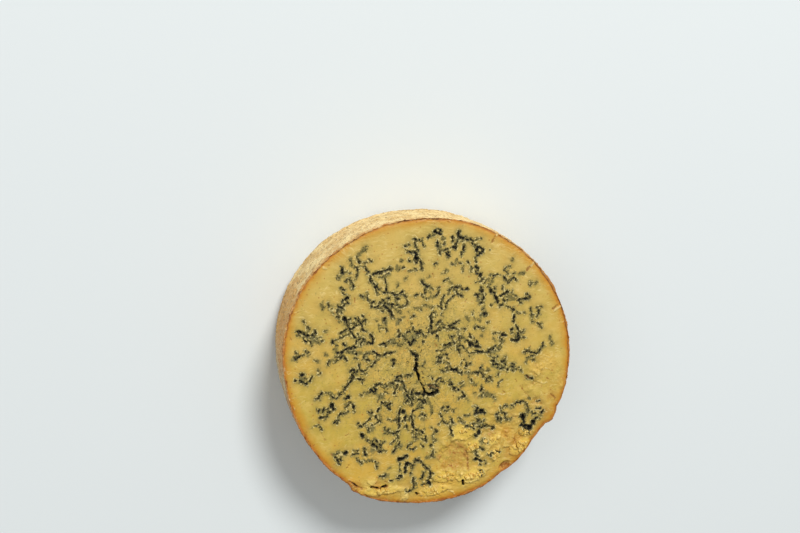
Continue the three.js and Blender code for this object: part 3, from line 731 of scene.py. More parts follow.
def vec(operation, *values, scale=None):
    tree = treeOf(*values)
    node = tree.nodes.new("ShaderNodeVectorMath")
    node.operation = operation
    for socket, value in zip(node.inputs, values):
        plug(tree, socket, value)
    if scale is not None:
        plug(tree, node.inputs["Scale"], scale)
    return Wire(tree, node.outputs["Value" if operation in ("LENGTH", "DOT_PRODUCT") else "Vector"])


def combine(tree, x, y, z):
    node = tree.nodes.new("ShaderNodeCombineXYZ")
    for socket, value in zip(node.inputs, (x, y, z)):
        plug(tree, socket, value)
    return Wire(tree, node.outputs[0])


def split(place):
    node = place.tree.nodes.new("ShaderNodeSeparateXYZ")
    plug(place.tree, node.inputs[0], place)
    return [Wire(place.tree, output) for output in node.outputs]


def painted(tree, name):
    # Reads a painted value in a material or in geometry nodes
    if tree.bl_idname == "GeometryNodeTree":
        node = tree.nodes.new("GeometryNodeInputNamedAttribute")
        node.data_type = "FLOAT"
        node.inputs["Name"].default_value = name
        return Wire(tree, node.outputs["Attribute"])
    node = tree.nodes.new("ShaderNodeAttribute")
    node.attribute_name = name
    return Wire(tree, node.outputs["Fac"])


def ramp(value, low, high, toLow=0.0, toHigh=1.0):
    # Smooth step from toLow at low to toHigh at high
    node = value.tree.nodes.new("ShaderNodeMapRange")
    node.interpolation_type = "SMOOTHSTEP"
    for socket, number in zip(node.inputs[1:5], (low, high, toLow, toHigh)):
        plug(value.tree, socket, number)
    plug(value.tree, node.inputs[0], value)
    return Wire(value.tree, node.outputs[0])


def noise(place, size, detail=2.0, roughness=0.5, seed=0.0, colour=False):
    # Cloudy values about 0.5, with clouds of the given size in mm
    node = place.tree.nodes.new("ShaderNodeTexNoise")
    node.noise_dimensions = "4D"
    plug(place.tree, node.inputs["Vector"], place)
    node.inputs["W"].default_value = seed
    node.inputs["Scale"].default_value = 1 / size
    node.inputs["Detail"].default_value = detail
    node.inputs["Roughness"].default_value = roughness
    return Wire(place.tree, node.outputs["Color" if colour else "Fac"])


def cloud(place, size, spread, seed, detail=3.0, roughness=0.6):
    # Cloudy values about 0, spread wide from the lowest to the highest
    return (noise(place, size, detail, roughness, seed) - 0.5) * spread


def cells(place, size, feature="F1", output="Distance", shift=(0, 0, 0), flat=True):
    # Cells of about the given size in mm; distances come out in mm
    node = place.tree.nodes.new("ShaderNodeTexVoronoi")
    node.voronoi_dimensions = "2D" if flat else "3D"
    node.feature = feature
    plug(place.tree, node.inputs["Vector"], vec("ADD", place, shift))
    node.inputs["Scale"].default_value = 1 / size
    found = Wire(place.tree, node.outputs[output])
    return found * size if output == "Distance" else found


def bent(place, size, reach, seed):
    # The place moved about by clouds, so that straight patterns wander
    push = vec("SUBTRACT", noise(place, size, seed=seed, colour=True), (0.5, 0.5, 0.5))
    return vec("ADD", place, vec("SCALE", push, scale=2 * reach))


def curdSeams(place, size, lean, shift, thick):
    # Strokes along the seams between cells: each is drawn where lean passes its own draw, and tapers off
    seam = cells(place, size, "DISTANCE_TO_EDGE", shift=shift)
    pair = vec("ADD", cells(place, size, "F1", "Color", shift), cells(place, size, "F2", "Color", shift))
    draw = calc("FRACT", vec("DOT_PRODUCT", pair, (5.3, 7.9, 3.1)))
    swell = ramp(noise(place, 2.0, 1.0, seed=4.0), 0.35, 0.65, 0.35, 1.25)
    width = calc("MULTIPLY", lean - draw, 4.0, clamp=True) * swell * thick
    return seam - width + ramp(width, 0.02, 0.12, 3.0, 0.0)


def veinCores(tree, place):
    # Dark cores of the blue mould, from the ink that paintPaste has painted, and pale torn edges beside them
    # that are also a painted highlight
    ragged = cloud(place, 0.7, 1.1, 6.0, 2.0, 0.5) - cloud(place, 2.2, 1.0, 7.0, 1.0, 0.5)
    edge = ragged - painted(tree, "ink")
    beads = ramp(noise(place, 1.5, seed=9.0), 0.36, 0.5, 0.25, 1.0)
    core = calc("MAXIMUM", ramp(edge, -0.3, 0.02, 1.0, 0.0) * beads, ramp(edge, -1.0, -0.6, 1.0, 0.0))
    besideCore = ramp(edge, 0.2, 0.4) * ramp(edge, 0.7, 1.0, 1.0, 0.0)
    return core, besideCore * ramp(noise(place, 2.0, 1.0, seed=8.0), 0.52, 0.58)


def aroundVeins(tree, place):
    # Fine threads of mould between the curds, the grey close round the lines and a wide haze
    lean = painted(tree, "near") + cloud(place, 5.0, 1.2, 3.0, 2.0, 0.5)
    wander = bent(bent(place, 7, 1.5, 1.0), 2.0, 0.7, 2.0)
    threads = ramp(curdSeams(wander, 2.0, lean - 0.36, (31, 17, 0), 0.28), -0.05, 0.1, 1.0, 0.0)
    grime = cloud(place, 0.9, 4.0, 10.0, 2.0, 0.5) + cloud(place, 3.5, 2.0, 2.0, 1.0, 0.5)
    halo = ramp(painted(tree, "tint") + grime, -0.65, -0.1)
    haze = ramp(lean + cloud(place, 1.3, 3.4, 5.0, 3.0, 0.65), 0.3, 0.9)
    return threads, halo, haze


# The paste: the cut face and what lies under it

pasteShape = {
    "span": 206,       # facets from one side of the face to the other
    "rindGap": 0.5,    # how far the paste ends inside the drum's outline, in mm
    "depth": 12,       # how deep the plug of paste goes into the rind's drum
    "inkReach": 6.0,   # how far from a line of blue its place is still measured
    "markReach": 2.0,
    "finerReach": 0.8,
    "wave": (34, 1.8),  # size of the slow waves and their spread
    "grain": 0.16,
    "ripple": 0.64,
    "lumpHeight": 1.0,
    "scoopDepth": 1.6,
    "veinDepth": 0.45,
    "tornHeight": 0.2,
    "clotDepth": 2.0,
    "crackDepth": 3.0,
    "brownDepth": 0.4,
    "paleHeight": 0.35,
    "rimDrop": 0.5,
}


darkLines, faintLines = growMould()
crackLines = [roughened(line) for line in cracks]
print("lines of blue", len(darkLines), "faint", len(faintLines))


def buildPaste():
    span, top = pasteShape["span"], drum["height"]
    edge = drum["radius"] - pasteShape["rindGap"]
    skirt = [(edge - 0.3, top - 1.0), (edge - 1.2, top - 3.0), (edge - 1.6, top - pasteShape["depth"])]
    piece = startRing("paste", span * 4, edge, top)
    bpy.ops.mesh.fill_grid(span=span)
    selectBorder()
    extrudeRings((edge, top), skirt)
    bpy.ops.mesh.edge_face_add()
    closeShell()
    fitOutline(piece)
    refine(piece)
    paintPaste(piece)
    return piece


def refine(piece):
    # Smaller facets where the face is crumbled, veined, cracked or marked
    x, y, z = facetMiddles(piece)
    marks = inkAt(darkLines + brownMarks + paleMarks + crackLines, x, y, pasteShape["markReach"])
    fine = (looseShare(x, y) > 0.35) | (marks > -pasteShape["finerReach"])
    fine &= z > drum["height"] - 0.1
    print("facets made finer", fine.sum(), "of", len(fine))
    editFacets(piece, fine)
    bpy.ops.mesh.subdivide(number_cuts=1)
    leaveEdit()


def paintPaste(piece):
    # ink and tint are how far inside a dark line and inside any line a place lies, near is 1 close to a line
    x, y, z = places(piece)
    inkReach, markReach = pasteShape["inkReach"], pasteShape["markReach"]
    loose = looseShare(x, y)
    smudge = spotShare(smudges, x, y)
    ink = inkAt(darkLines, x, y, inkReach)
    tint = np.maximum(ink, inkAt(faintLines, x, y, inkReach))
    inMiddle = 0.6 * (1 - smooth(np.hypot(x + 6, y), 15, 85)) * (1 - loose)
    values = {
        "onFace": (z > drum["height"] - 0.01).astype(float),
        "rim": fromRim(x, y, z),
        "near": np.maximum.reduce([inMiddle, 1 - smooth(-tint, 0, 2.2), smudge * 1.2]),
        "smudge": smudge,
        "stain": spotShare(stains, x, y),
        "ink": ink,
        "tint": tint,
        "shade": 1 - smooth(-tint, 0, inkReach),
        "brown": inkAt(brownMarks, x, y, markReach),
        "pale": inkAt(paleMarks, x, y, markReach),
        "crack": inkAt(crackLines, x, y, markReach),
        "crumble": loose,
        "lump": np.maximum.reduce(heightsAt(lumps, x, y)),
        "scoop": np.minimum.reduce(heightsAt(scoops, x, y)),
    }
    for name, value in values.items():
        paint(piece, name, value)


crumbShape = {
    "halfSize": (0.45, 1.6),  # in mm
    "bevel": 0.5,            # share of the half size taken off the edges
    "uneven": 0.35,          # how far the corners stray, as a share of the half size
    "kinds": 4,
    "spread": 0.55,          # how far the crumbs lie about the middle of a lump, as a share of its size
    "rimGap": 3,
    "lift": 0.25,            # how far its middle stands over the ground, as a share of its half size
    "stretch": (0.7, 1.35),
}


def buildCrumbs(ground):
    # Small broken bits piled on the lumps, half sunk in the ground
    random.seed(7)
    x, y, z = places(ground)
    small, large = crumbShape["halfSize"]
    kinds = [oneCrumb(seed) for seed in range(crumbShape["kinds"])]
    copies = []
    for pile in lumps:
        turn = math.radians(pile["turn"])
        for i in range(pile["crumbs"]):
            reach, angle = random.gauss(0, crumbShape["spread"]), random.uniform(0, 2 * math.pi)
            across = reach * math.cos(angle) * pile["size"][0]
            along = reach * math.sin(angle) * pile["size"][1]
            cx = pile["place"][0] + across * math.cos(turn) - along * math.sin(turn)
            cy = pile["place"][1] + across * math.sin(turn) + along * math.cos(turn)
            if math.hypot(cx, cy) > drum["radius"] - crumbShape["rimGap"]:
                continue
            half = small * (large / small) ** random.betavariate(1.4, 2.0)
            # The ground's height there, from its nearest vertex that isn't on the underside
            cz = z[np.argmin((x - cx) ** 2 + (y - cy) ** 2 + 1e3 * (z < drum["height"] - 6))]
            place = (cx, cy, cz + half * crumbShape["lift"])
            copies.append(copyCrumb(random.choice(kinds), place, half))
    deselect()
    for crumb in kinds:
        crumb.select_set(True)
    bpy.ops.object.delete()
    for crumb in copies:
        crumb.select_set(True)
    bpy.context.view_layer.objects.active = copies[0]
    bpy.ops.object.join()
    bpy.ops.object.transform_apply(location=True, rotation=True, scale=True)
    piece = bpy.context.object
    piece.name = "crumbs"
    piece.data.name = "crumbs"
    return piece


def oneCrumb(seed):
    deselect()
    bpy.ops.mesh.primitive_cube_add(size=2 * mm)
    bpy.ops.object.mode_set(mode="EDIT")
    bpy.ops.mesh.select_all(action="SELECT")
    bpy.ops.mesh.bevel(offset=crumbShape["bevel"] * mm, segments=1)
    bpy.ops.transform.vertex_random(offset=crumbShape["uneven"] * mm, seed=seed)
    closeShell()
    return bpy.context.object


def copyCrumb(crumb, place, half):
    pick(crumb)
    bpy.ops.object.duplicate()
    copy = bpy.context.object
    copy.location = [v * mm for v in place]
    copy.rotation_euler = [random.uniform(0, 2 * math.pi) for i in range(3)]
    copy.scale = [half * random.uniform(*crumbShape["stretch"]) for i in range(3)]
    return copy


def reliefTree(name, make):
    # A geometry nodes tree that moves each vertex; make gets the place in mm and gives the move in mm
    tree = bpy.data.node_groups.new(name, "GeometryNodeTree")
    tree.interface.new_socket("Geometry", in_out="INPUT", socket_type="NodeSocketGeometry")
    tree.interface.new_socket("Geometry", in_out="OUTPUT", socket_type="NodeSocketGeometry")
    start = tree.nodes.new("NodeGroupInput")
    end = tree.nodes.new("NodeGroupOutput")
    mover = tree.nodes.new("GeometryNodeSetPosition")
    spot = tree.nodes.new("GeometryNodeInputPosition")
    move = make(tree, vec("SCALE", Wire(tree, spot.outputs[0]), scale=1 / mm))
    # The height of the move is kept as relief, which the paste's colour reads for painted shade in the
    # hollows and painted highlight on high places
    keeper = tree.nodes.new("GeometryNodeStoreNamedAttribute")
    keeper.data_type = "FLOAT"
    keeper.domain = "POINT"
    keeper.inputs["Name"].default_value = "relief"
    plug(tree, keeper.inputs["Value"], split(move)[2])
    tree.links.new(start.outputs[0], keeper.inputs["Geometry"])
    tree.links.new(keeper.outputs[0], mover.inputs["Geometry"])
    tree.links.new(vec("SCALE", move, scale=mm).socket, mover.inputs["Offset"])
    tree.links.new(mover.outputs[0], end.inputs[0])
    return tree


def applyRelief(piece, tree):
    pick(piece)
    relief = piece.modifiers.new("relief", "NODES")
    relief.node_group = tree
    bpy.ops.object.modifier_apply(modifier=relief.name)


def flakes(place, size, seed, count, height):
    # Torn layers: flat steps with steep edges, on the level lines of clouds
    level = noise(place, size, 3.0, 0.55, seed) * count
    share = calc("FRACT", level)
    return (level - share + ramp(share, 0.0, 0.4) - count / 2) * height


def pasteRelief(tree, place):
    shape = pasteShape
    x, y = split(place)[:2]
    core, tornEdgeHighlight = veinCores(tree, place)
    size, spread = shape["wave"]
    wave = cloud(place, size, spread, 11.0, 1.0, 0.5)
    # Marks of the wire, drawn out across the face
    stretched = combine(tree, x * 0.09, y * 0.8 + noise(place, 20, 1.0, seed=12.0) * 6.0, 0.0)
    dragged = ramp(noise(place, 13, 1.0, seed=13.0), 0.42, 0.62)
    ripples = cloud(stretched, 1.0, dragged, 14.0, 3.0, 0.5) * shape["ripple"]
    grain = cloud(place, 1.6, shape["grain"], 15.0)
    # Flakes of the broken ground, and very low ones elsewhere
    layers = flakes(place, 12, 61.0, 8.0, 0.8)
    layers += flakes(place, 4.0, 62.0, 6.0, 0.45) + flakes(place, 2.0, 67.0, 5.0, 0.15)
    patchy = ramp(noise(place, 11, 1.0, seed=18.0), 0.42, 0.56, 0.12, 1.0)
    crumbly = layers * painted(tree, "crumble") * patchy
    crumbly += layers * ramp(noise(place, 14, seed=19.0), 0.5, 0.62) * 0.1
    ragged = cloud(place, 4.0, 1.5, 34.0)
    raised = ramp(painted(tree, "lump") + ragged, 0.35, 0.6)
    crumbly = crumbly * (1 - raised * 0.6) + raised * (cloud(place, 2.6, 1.6, 20.0) + shape["lumpHeight"])
    sunk = ramp(painted(tree, "scoop") + ragged * 1.2, -0.2, -1.3)
    folds = cloud(combine(tree, x, y * 0.3, 0.0), 1.8, 3.4, 65.0)
    crumbly = crumbly * (1 - sunk * 0.6) - sunk * (shape["scoopDepth"] - folds)
    rimDrop = ramp(painted(tree, "rim"), 0.5, 3.5, -shape["rimDrop"], 0.0)
    total = wave + ripples + grain + crumbly + rimDrop
    # Mould, cracks and marks
    total = total - core * shape["veinDepth"] - ramp(painted(tree, "ink"), 0.7, 1.5) * shape["clotDepth"]
    jagged = cloud(place, 0.9, 1.4, 35.0, 2.0, 0.5)
    gap = ramp(painted(tree, "crack") + jagged, -0.2, 0.4)
    total = total + tornEdgeHighlight * shape["tornHeight"] - gap * shape["crackDepth"]
    total = total - ramp(painted(tree, "brown"), -0.3, 0.5, 0.0, shape["brownDepth"])
    total = total + ramp(painted(tree, "pale"), -0.2, 0.4, 0.0, shape["paleHeight"])
    return combine(tree, 0.0, 0.0, total * painted(tree, "onFace"))


# Colours

def tone(code):
    # A colour written as in a paint program, as Blender's linear values
    parts = [int(code[i:i + 2], 16) / 255 for i in (1, 3, 5)]
    return tuple(p / 12.92 if p <= 0.04045 else ((p + 0.055) / 1.055) ** 2.4 for p in parts) + (1,)


def mix(share, low, high):
    tree = share.tree
    node = tree.nodes.new("ShaderNodeMix")
    node.data_type = "RGBA"
    node.clamp_factor = True
    for i, value in ((0, share), (6, low), (7, high)):
        plug(tree, node.inputs[i], tone(value) if isinstance(value, str) else value)
    return Wire(tree, node.outputs[2])


def layered(colour, layers):
    # Lays tones over a colour one after another, each by its own share
    for share, over in layers:
        colour = mix(share, colour, over)
    return colour


def startMaterial(name, roughness):
    material = bpy.data.materials.new(name)
    material.use_nodes = True
    tree = material.node_tree
    tree.nodes.clear()
    output = tree.nodes.new("ShaderNodeOutputMaterial")
    shader = tree.nodes.new("ShaderNodeBsdfPrincipled")
    shader.inputs["Roughness"].default_value = roughness
    tree.links.new(shader.outputs[0], output.inputs[0])
    spot = tree.nodes.new("ShaderNodeTexCoord")
    place = vec("SCALE", Wire(tree, spot.outputs["Object"]), scale=1 / mm)
    return material, tree, shader, place


def bump(tree, shader, height, distance):
    node = tree.nodes.new("ShaderNodeBump")
    node.inputs["Distance"].default_value = distance * mm
    node.inputs["Strength"].default_value = 1
    plug(tree, node.inputs["Height"], height)
    tree.links.new(node.outputs[0], shader.inputs["Normal"])


def buildRimLine():
    # Broken brown line between paste and rind, the same from both sides, as a group for both materials
    tree = bpy.data.node_groups.new("rimLine", "ShaderNodeTree")
    tree.interface.new_socket("Place", in_out="INPUT", socket_type="NodeSocketVector")
    tree.interface.new_socket("Strength", in_out="INPUT", socket_type="NodeSocketFloat")
    tree.interface.new_socket("Share", in_out="OUTPUT", socket_type="NodeSocketFloat")
    tree.interface.new_socket("Tone", in_out="OUTPUT", socket_type="NodeSocketColor")
    place, strength = [Wire(tree, socket) for socket in tree.nodes.new("NodeGroupInput").outputs[:2]]
    away = calc("ABSOLUTE", painted(tree, "rim") - 0.7 + cloud(place, 5, 4.5, 53.0))
    pieces = ramp(noise(place, 3.5, seed=56.0), 0.42, 0.56, 0.15, 0.9)
    weaker = ramp(split(place)[0], 30.0, 70.0, 1.0, 0.6)
    end = tree.nodes.new("NodeGroupOutput")
    plug(tree, end.inputs["Share"], ramp(away, 0.3, 1.0, 1.0, 0.0) * pieces * weaker * strength)
    plug(tree, end.inputs["Tone"], mix(ramp(noise(place, 7, seed=57.0), 0.42, 0.58), "#8A4B18", "#BC762E"))
    return tree


def rimLayer(tree, place, strength):
    # The rim line placed in a material, as a share and a tone to lay over its colour
    node = tree.nodes.new("ShaderNodeGroup")
    node.node_tree = rimLine
    plug(tree, node.inputs["Place"], place)
    plug(tree, node.inputs["Strength"], strength)
    return Wire(tree, node.outputs["Share"]), Wire(tree, node.outputs["Tone"])


def pasteMaterial():
    material, tree, shader, place = startMaterial("pasteCut", 0.5)
    shader.inputs["Specular IOR Level"].default_value = 0.3
    core, tornEdgeHighlight = veinCores(tree, place)
    threads, halo, haze = aroundVeins(tree, place)
    x, y = split(place)[:2]
    rim, crumble, relief = painted(tree, "rim"), painted(tree, "crumble"), painted(tree, "relief")
    mottle = noise(place, 15, 3.0, seed=21.0)
    colour = layered(mix(ramp(mottle, 0.35, 0.65), "#C4A948", "#D3AA44"), [
        (ramp(noise(place, 5, 3.0, 0.6, 22.0), 0.4, 0.7) * 0.5, "#E0C06A"),
        # Painted sheen: the face turns paler towards its top, at +y
        (ramp(y + mottle * 60.0, -20.0, 120.0, 0.0, 0.55), "#D6BA6C"),
        (ramp(rim + cloud(place, 9, 9.0, 23.0), 0.0, 8.0, 0.9, 0.0), "#C98D22"),
        (ramp(rim + cloud(place, 3, 5.0, 27.0), 0.6, 3.2, 0.65, 0.0), "#BC7220"),
        rimLayer(tree, place, 1.0),
    ])
    # Broken ground: fresh and dull patches, hollows with painted shade, high places with a painted
    # highlight, stains and lumps
    shade = painted(tree, "shade") * ramp(noise(place, 4, 3.0, seed=26.0), 0.3, 0.65, 0.15, 1.0)
    # Painted shade: darker brown where the relief lies low
    low = ramp(relief + cloud(place, 2.5, 4.0, 63.0), -0.6, -2.4)
    deep = ramp(painted(tree, "scoop"), -0.1, -0.8) * ramp(noise(place, 3.0, 3.0, 0.6, 64.0), 0.48, 0.6)
    colour = layered(colour, [
        (crumble * ramp(noise(place, 7, 3.0, seed=33.0), 0.35, 0.6) * 0.2, "#E6C465"),
        (crumble * ramp(noise(place, 5, 3.0, 0.6, 76.0), 0.44, 0.58) * 0.4, "#B9923F"),
        (shade * 0.6, "#A08844"),
        (low * 0.6, "#B98A40"),
        (deep * 0.6, "#AF6F34"),
        # Painted highlight: pale yellow where the relief stands high
        (ramp(relief, 0.6, 1.6, 0.0, 0.5), "#E9CC74"),
        (ramp(painted(tree, "stain") + cloud(place, 4.0, 2.0, 78.0), 0.1, 0.8) * 0.5, "#B67C2A"),
        (ramp(painted(tree, "lump") + cloud(place, 2.5, 1.8, 77.0), 0.4, 0.9) * 0.5, "#EDCB58"),
    ])
    # Brown specks, and light and dark streaks along the wire's marks, partly their own colour and partly
    # painted highlight and painted shade
    speck = cells(bent(place, 3, 1.0, 29.0), 5.5, shift=(2, 8, 0))
    wireStreakAndSheen = noise(combine(tree, x * 0.2, y + mottle * 20.0, 0.0), 0.9, 3.0, 0.6, 31.0)
    dragged = ramp(noise(place, 12, seed=32.0), 0.45, 0.6)
    colour = layered(colour, [
        (ramp(speck, 0.25, 0.6, 0.7, 0.0) * ramp(noise(place, 8, seed=30.0), 0.5, 0.56), "#A8642A"),
        (ramp(wireStreakAndSheen, 0.52, 0.7) * dragged * 0.6, "#EFD58C"),
        (ramp(wireStreakAndSheen, 0.46, 0.3) * dragged * 0.5, "#B58E3C"),
    ])
    # Mould from its wide haze to its dark cores, then the small marks and cracks
    smoke = painted(tree, "smudge") + cloud(place, 1.6, 2.6, 75.0, 3.0, 0.65)
    grit = cloud(place, 1.1, 4.0, 28.0)
    jagged = cloud(place, 0.9, 1.4, 35.0, 2.0, 0.5)
    colour = layered(colour, [
        (haze * 0.58, "#8D8247"),
        (ramp(smoke, 0.2, 0.75) * 0.75, "#6F6A42"),
        (halo * 0.75, "#635C33"),
        (threads * 0.85, "#332F16"),
        # Painted highlight: pale edges beside the dark cores
        (tornEdgeHighlight * 0.65, "#EEDA94"),
        (core, "#0C0B04"),
        (ramp(painted(tree, "brown") + grit, -0.3, 0.5, 0.0, 0.7), "#8A4F1C"),
        (ramp(painted(tree, "pale") + grit, -0.1, 0.5, 0.0, 0.6), "#EBD48C"),
        (ramp(painted(tree, "crack") + jagged, -0.3, 0.2), "#12110B"),
    ])
    plug(tree, shader.inputs["Base Color"], colour)
    plug(tree, shader.inputs["Roughness"], core * 0.4 + 0.48)
    bump(tree, shader, noise(place, 0.9, 3.0, 0.6, 24.0) * (crumble + 1.0), 0.15)
    return material


def crumbMaterial():
    material, tree, shader, place = startMaterial("pasteCrumb", 0.5)
    shader.inputs["Specular IOR Level"].default_value = 0.3
    colour = mix(ramp(noise(place, 3.0, seed=71.0), 0.35, 0.65), "#CFA746", "#EDCF74")
    colour = mix(ramp(noise(place, 2.0, 3.0, seed=72.0), 0.56, 0.66, 0.0, 0.7), colour, "#B98440")
    plug(tree, shader.inputs["Base Color"], colour)
    bump(tree, shader, noise(place, 0.5, seed=73.0), 0.1)
    return material


# The rind: side, uncut end and the thin edge round the cut face

rindShape = {
    "count": 1000,     # facets round the drum
    "sideStep": 1.0,   # height of a facet on the side, in mm
    "endSteps": (10, 14),  # rings on the rounded edge and on the uncut end
    "lipWidth": 1.0,   # how wide the rind shows round the paste
    "lipHeight": 2.2,  # how ragged the lip is
    "holeRows": [13, 28, 44],  # heights of the rows in which the needles went in
    "holeSpacing": 15,
    "holeSize": 0.75,  # radius of a needle hole, in mm
    "holeDepth": 1.6,
    "swells": [(30, 3.0, 45.0, 1.0), (9, 1.8, 46.0, 2.0)],  # size, spread, seed and detail
    "grain": 1.5,
    "fibres": 0.3,
    "pits": 0.5,
    "ridge": (12.0, 2.6, 0.7),  # height on the side, half width and how far it stands out
    "groove": (8.5, 1.6, 0.7),  # height on the side, half width and depth
}


def rindProfile():
    # Radius and height of each ring, from inside the lip over the edge and down the side to the end's middle
    top, radius, rounding = drum["height"], drum["radius"], drum["endRounding"]
    lip = rindShape["lipWidth"]
    rings = [(radius - lip - 0.6, top - 4), (radius - lip - 0.1, top - 0.7), (radius - lip, top - 0.2)]
    rings += [(radius - lip * 0.5, top), (radius - 0.2, top - 0.05), (radius, top - 0.5)]
    count = round((top - rounding) / rindShape["sideStep"])
    rings += [(radius, top - (top - rounding) * i / count) for i in range(1, count + 1)]
    roundSteps, flatSteps = rindShape["endSteps"]
    for i in range(1, roundSteps + 1):
        turn = math.radians(90 / roundSteps * i)
        rings.append((radius - rounding * (1 - math.cos(turn)), rounding * (1 - math.sin(turn))))
    rings += [((radius - rounding) * (1 - i / flatSteps), 0) for i in range(1, flatSteps)]
    return rings


def buildRind():
    first = (drum["radius"] - rindShape["lipWidth"] - 1.0, drum["height"] - pasteShape["depth"] + 2)
    piece = startRing("rind", rindShape["count"], *first)
    bpy.ops.mesh.edge_face_add()
    selectBorder()
    extrudeRings(first, rindProfile())
    bpy.ops.mesh.merge(type="CENTER")
    closeShell()
    x, y, z = places(piece)
    lip = (z > drum["height"] - 0.8) & (np.hypot(x, y) < drum["radius"] - 0.1)
    paint(piece, "lip", lip.astype(float))
    fitOutline(piece)
    paint(piece, "rim", fromRim(*places(piece)))
    sinkHoles(piece)
    return piece


def sinkHoles(piece):
    # Needle holes in loose rows round the side, each pushed in and narrowed
    random.seed(12)
    x, y, z = facetMiddles(piece)
    around = np.arctan2(y, x) * drum["radius"]
    side = np.hypot(x, y) > drum["radius"] - 8
    chosen = np.zeros(len(x), dtype=bool)
    girth = 2 * math.pi * drum["radius"]
    perRow = round(girth / rindShape["holeSpacing"])
    for row in rindShape["holeRows"]:
        for i in range(perRow):
            spot = (i + random.uniform(0.1, 0.9)) / perRow * girth - girth / 2
            height = row + random.gauss(0, 2.2)
            size = rindShape["holeSize"] * random.uniform(0.7, 1.2)
            chosen |= side & (np.hypot(around - spot, z - height) < size)
    editFacets(piece, chosen)
    for step in (0.35, 0.65):
        depth = rindShape["holeDepth"] * step * mm
        bpy.ops.mesh.extrude_region_shrink_fatten(TRANSFORM_OT_shrink_fatten={"value": -depth})
    leaveEdit()
    x, y, z = places(piece)
    onSide = (z > 9) & (z < drum["height"] - 6)
    # The rind's colour darkens this hole mask as painted shade inside the holes
    paint(piece, "hole", np.where(onSide, smooth(fromRim(x, y, z), 0.0, 1.0), 0))


def rindSkin(place):
    # Fine grain, wiggly fibres and pits of the rind's dry skin
    wander = bent(place, 5, 1.6, 41.0)
    grain = noise(wander, 1.7, 3.0, 0.65, 42.0)
    fold = calc("ABSOLUTE", noise(wander, 4.5, seed=49.0) - 0.5)
    fibres = ramp(fold, 0.0, 0.04, 1.0, 0.0)
    spots = cells(bent(place, 5, 1.0, 43.0), 3.4, flat=False)
    pits = ramp(spots, 0.3, 1.2, 1.0, 0.0) * ramp(noise(place, 11, seed=44.0), 0.46, 0.6)
    return grain, fibres, pits


def outward(tree, x, y, z):
    # Direction out of the drum: sideways on its side, down on the uncut end, between them on the round edge
    flat = drum["radius"] - drum["endRounding"]
    along = vec("LENGTH", combine(tree, x, y, 0.0))
    sideways = calc("MAXIMUM", along - flat, 0.0)
    down = calc("MINIMUM", z - drum["endRounding"], 0.0)
    share = calc("DIVIDE", sideways, along + 0.001)
    return vec("NORMALIZE", combine(tree, x * share, y * share, down))


def clothLines(place, z):
    # Two wandering lines that the cloth has left round the side: a ridge, and a groove where the ridge ends
    wander = z + cloud(place, 22, 9.0, 48.0, 2.0, 0.5)
    here = ramp(noise(place, 30, seed=58.0), 0.45, 0.54)
    lines = []
    for name in ("ridge", "groove"):
        height, half = rindShape[name][:2]
        lines.append(ramp(calc("ABSOLUTE", wander - height), 0.0, half, 1.0, 0.0))
    return lines[0] * (1 - here), lines[1] * here


def rindRelief(tree, place):
    shape = rindShape
    x, y, z = split(place)
    grain, fibres, pits = rindSkin(place)
    ridge, groove = clothLines(place, z)
    lip = painted(tree, "lip")
    wide, narrow = [cloud(place, *swell, 0.5) for swell in shape["swells"]]
    skin = (grain - 0.5) * shape["grain"] + fibres * shape["fibres"] - pits * shape["pits"]
    side = ramp(z, 0.1, 6.0)
    total = wide + narrow + skin + ridge * shape["ridge"][2] - groove * shape["groove"][2]
    out = total * side * (1 - lip)
    hollows = calc("MINIMUM", (grain - 0.52) * 1.4 - pits * 0.4, 0.0) * (1 - side)
    ragged = cloud(place, 3.4, lip, 47.0, 2.0, 0.5)
    inner = ramp(painted(tree, "rim"), 0.3, 1.0, 0.0, 0.06)
    lipMove = combine(tree, x * ragged * inner, y * ragged * inner, ragged * shape["lipHeight"])
    return vec("ADD", vec("SCALE", outward(tree, x, y, z), scale=out + hollows), lipMove)


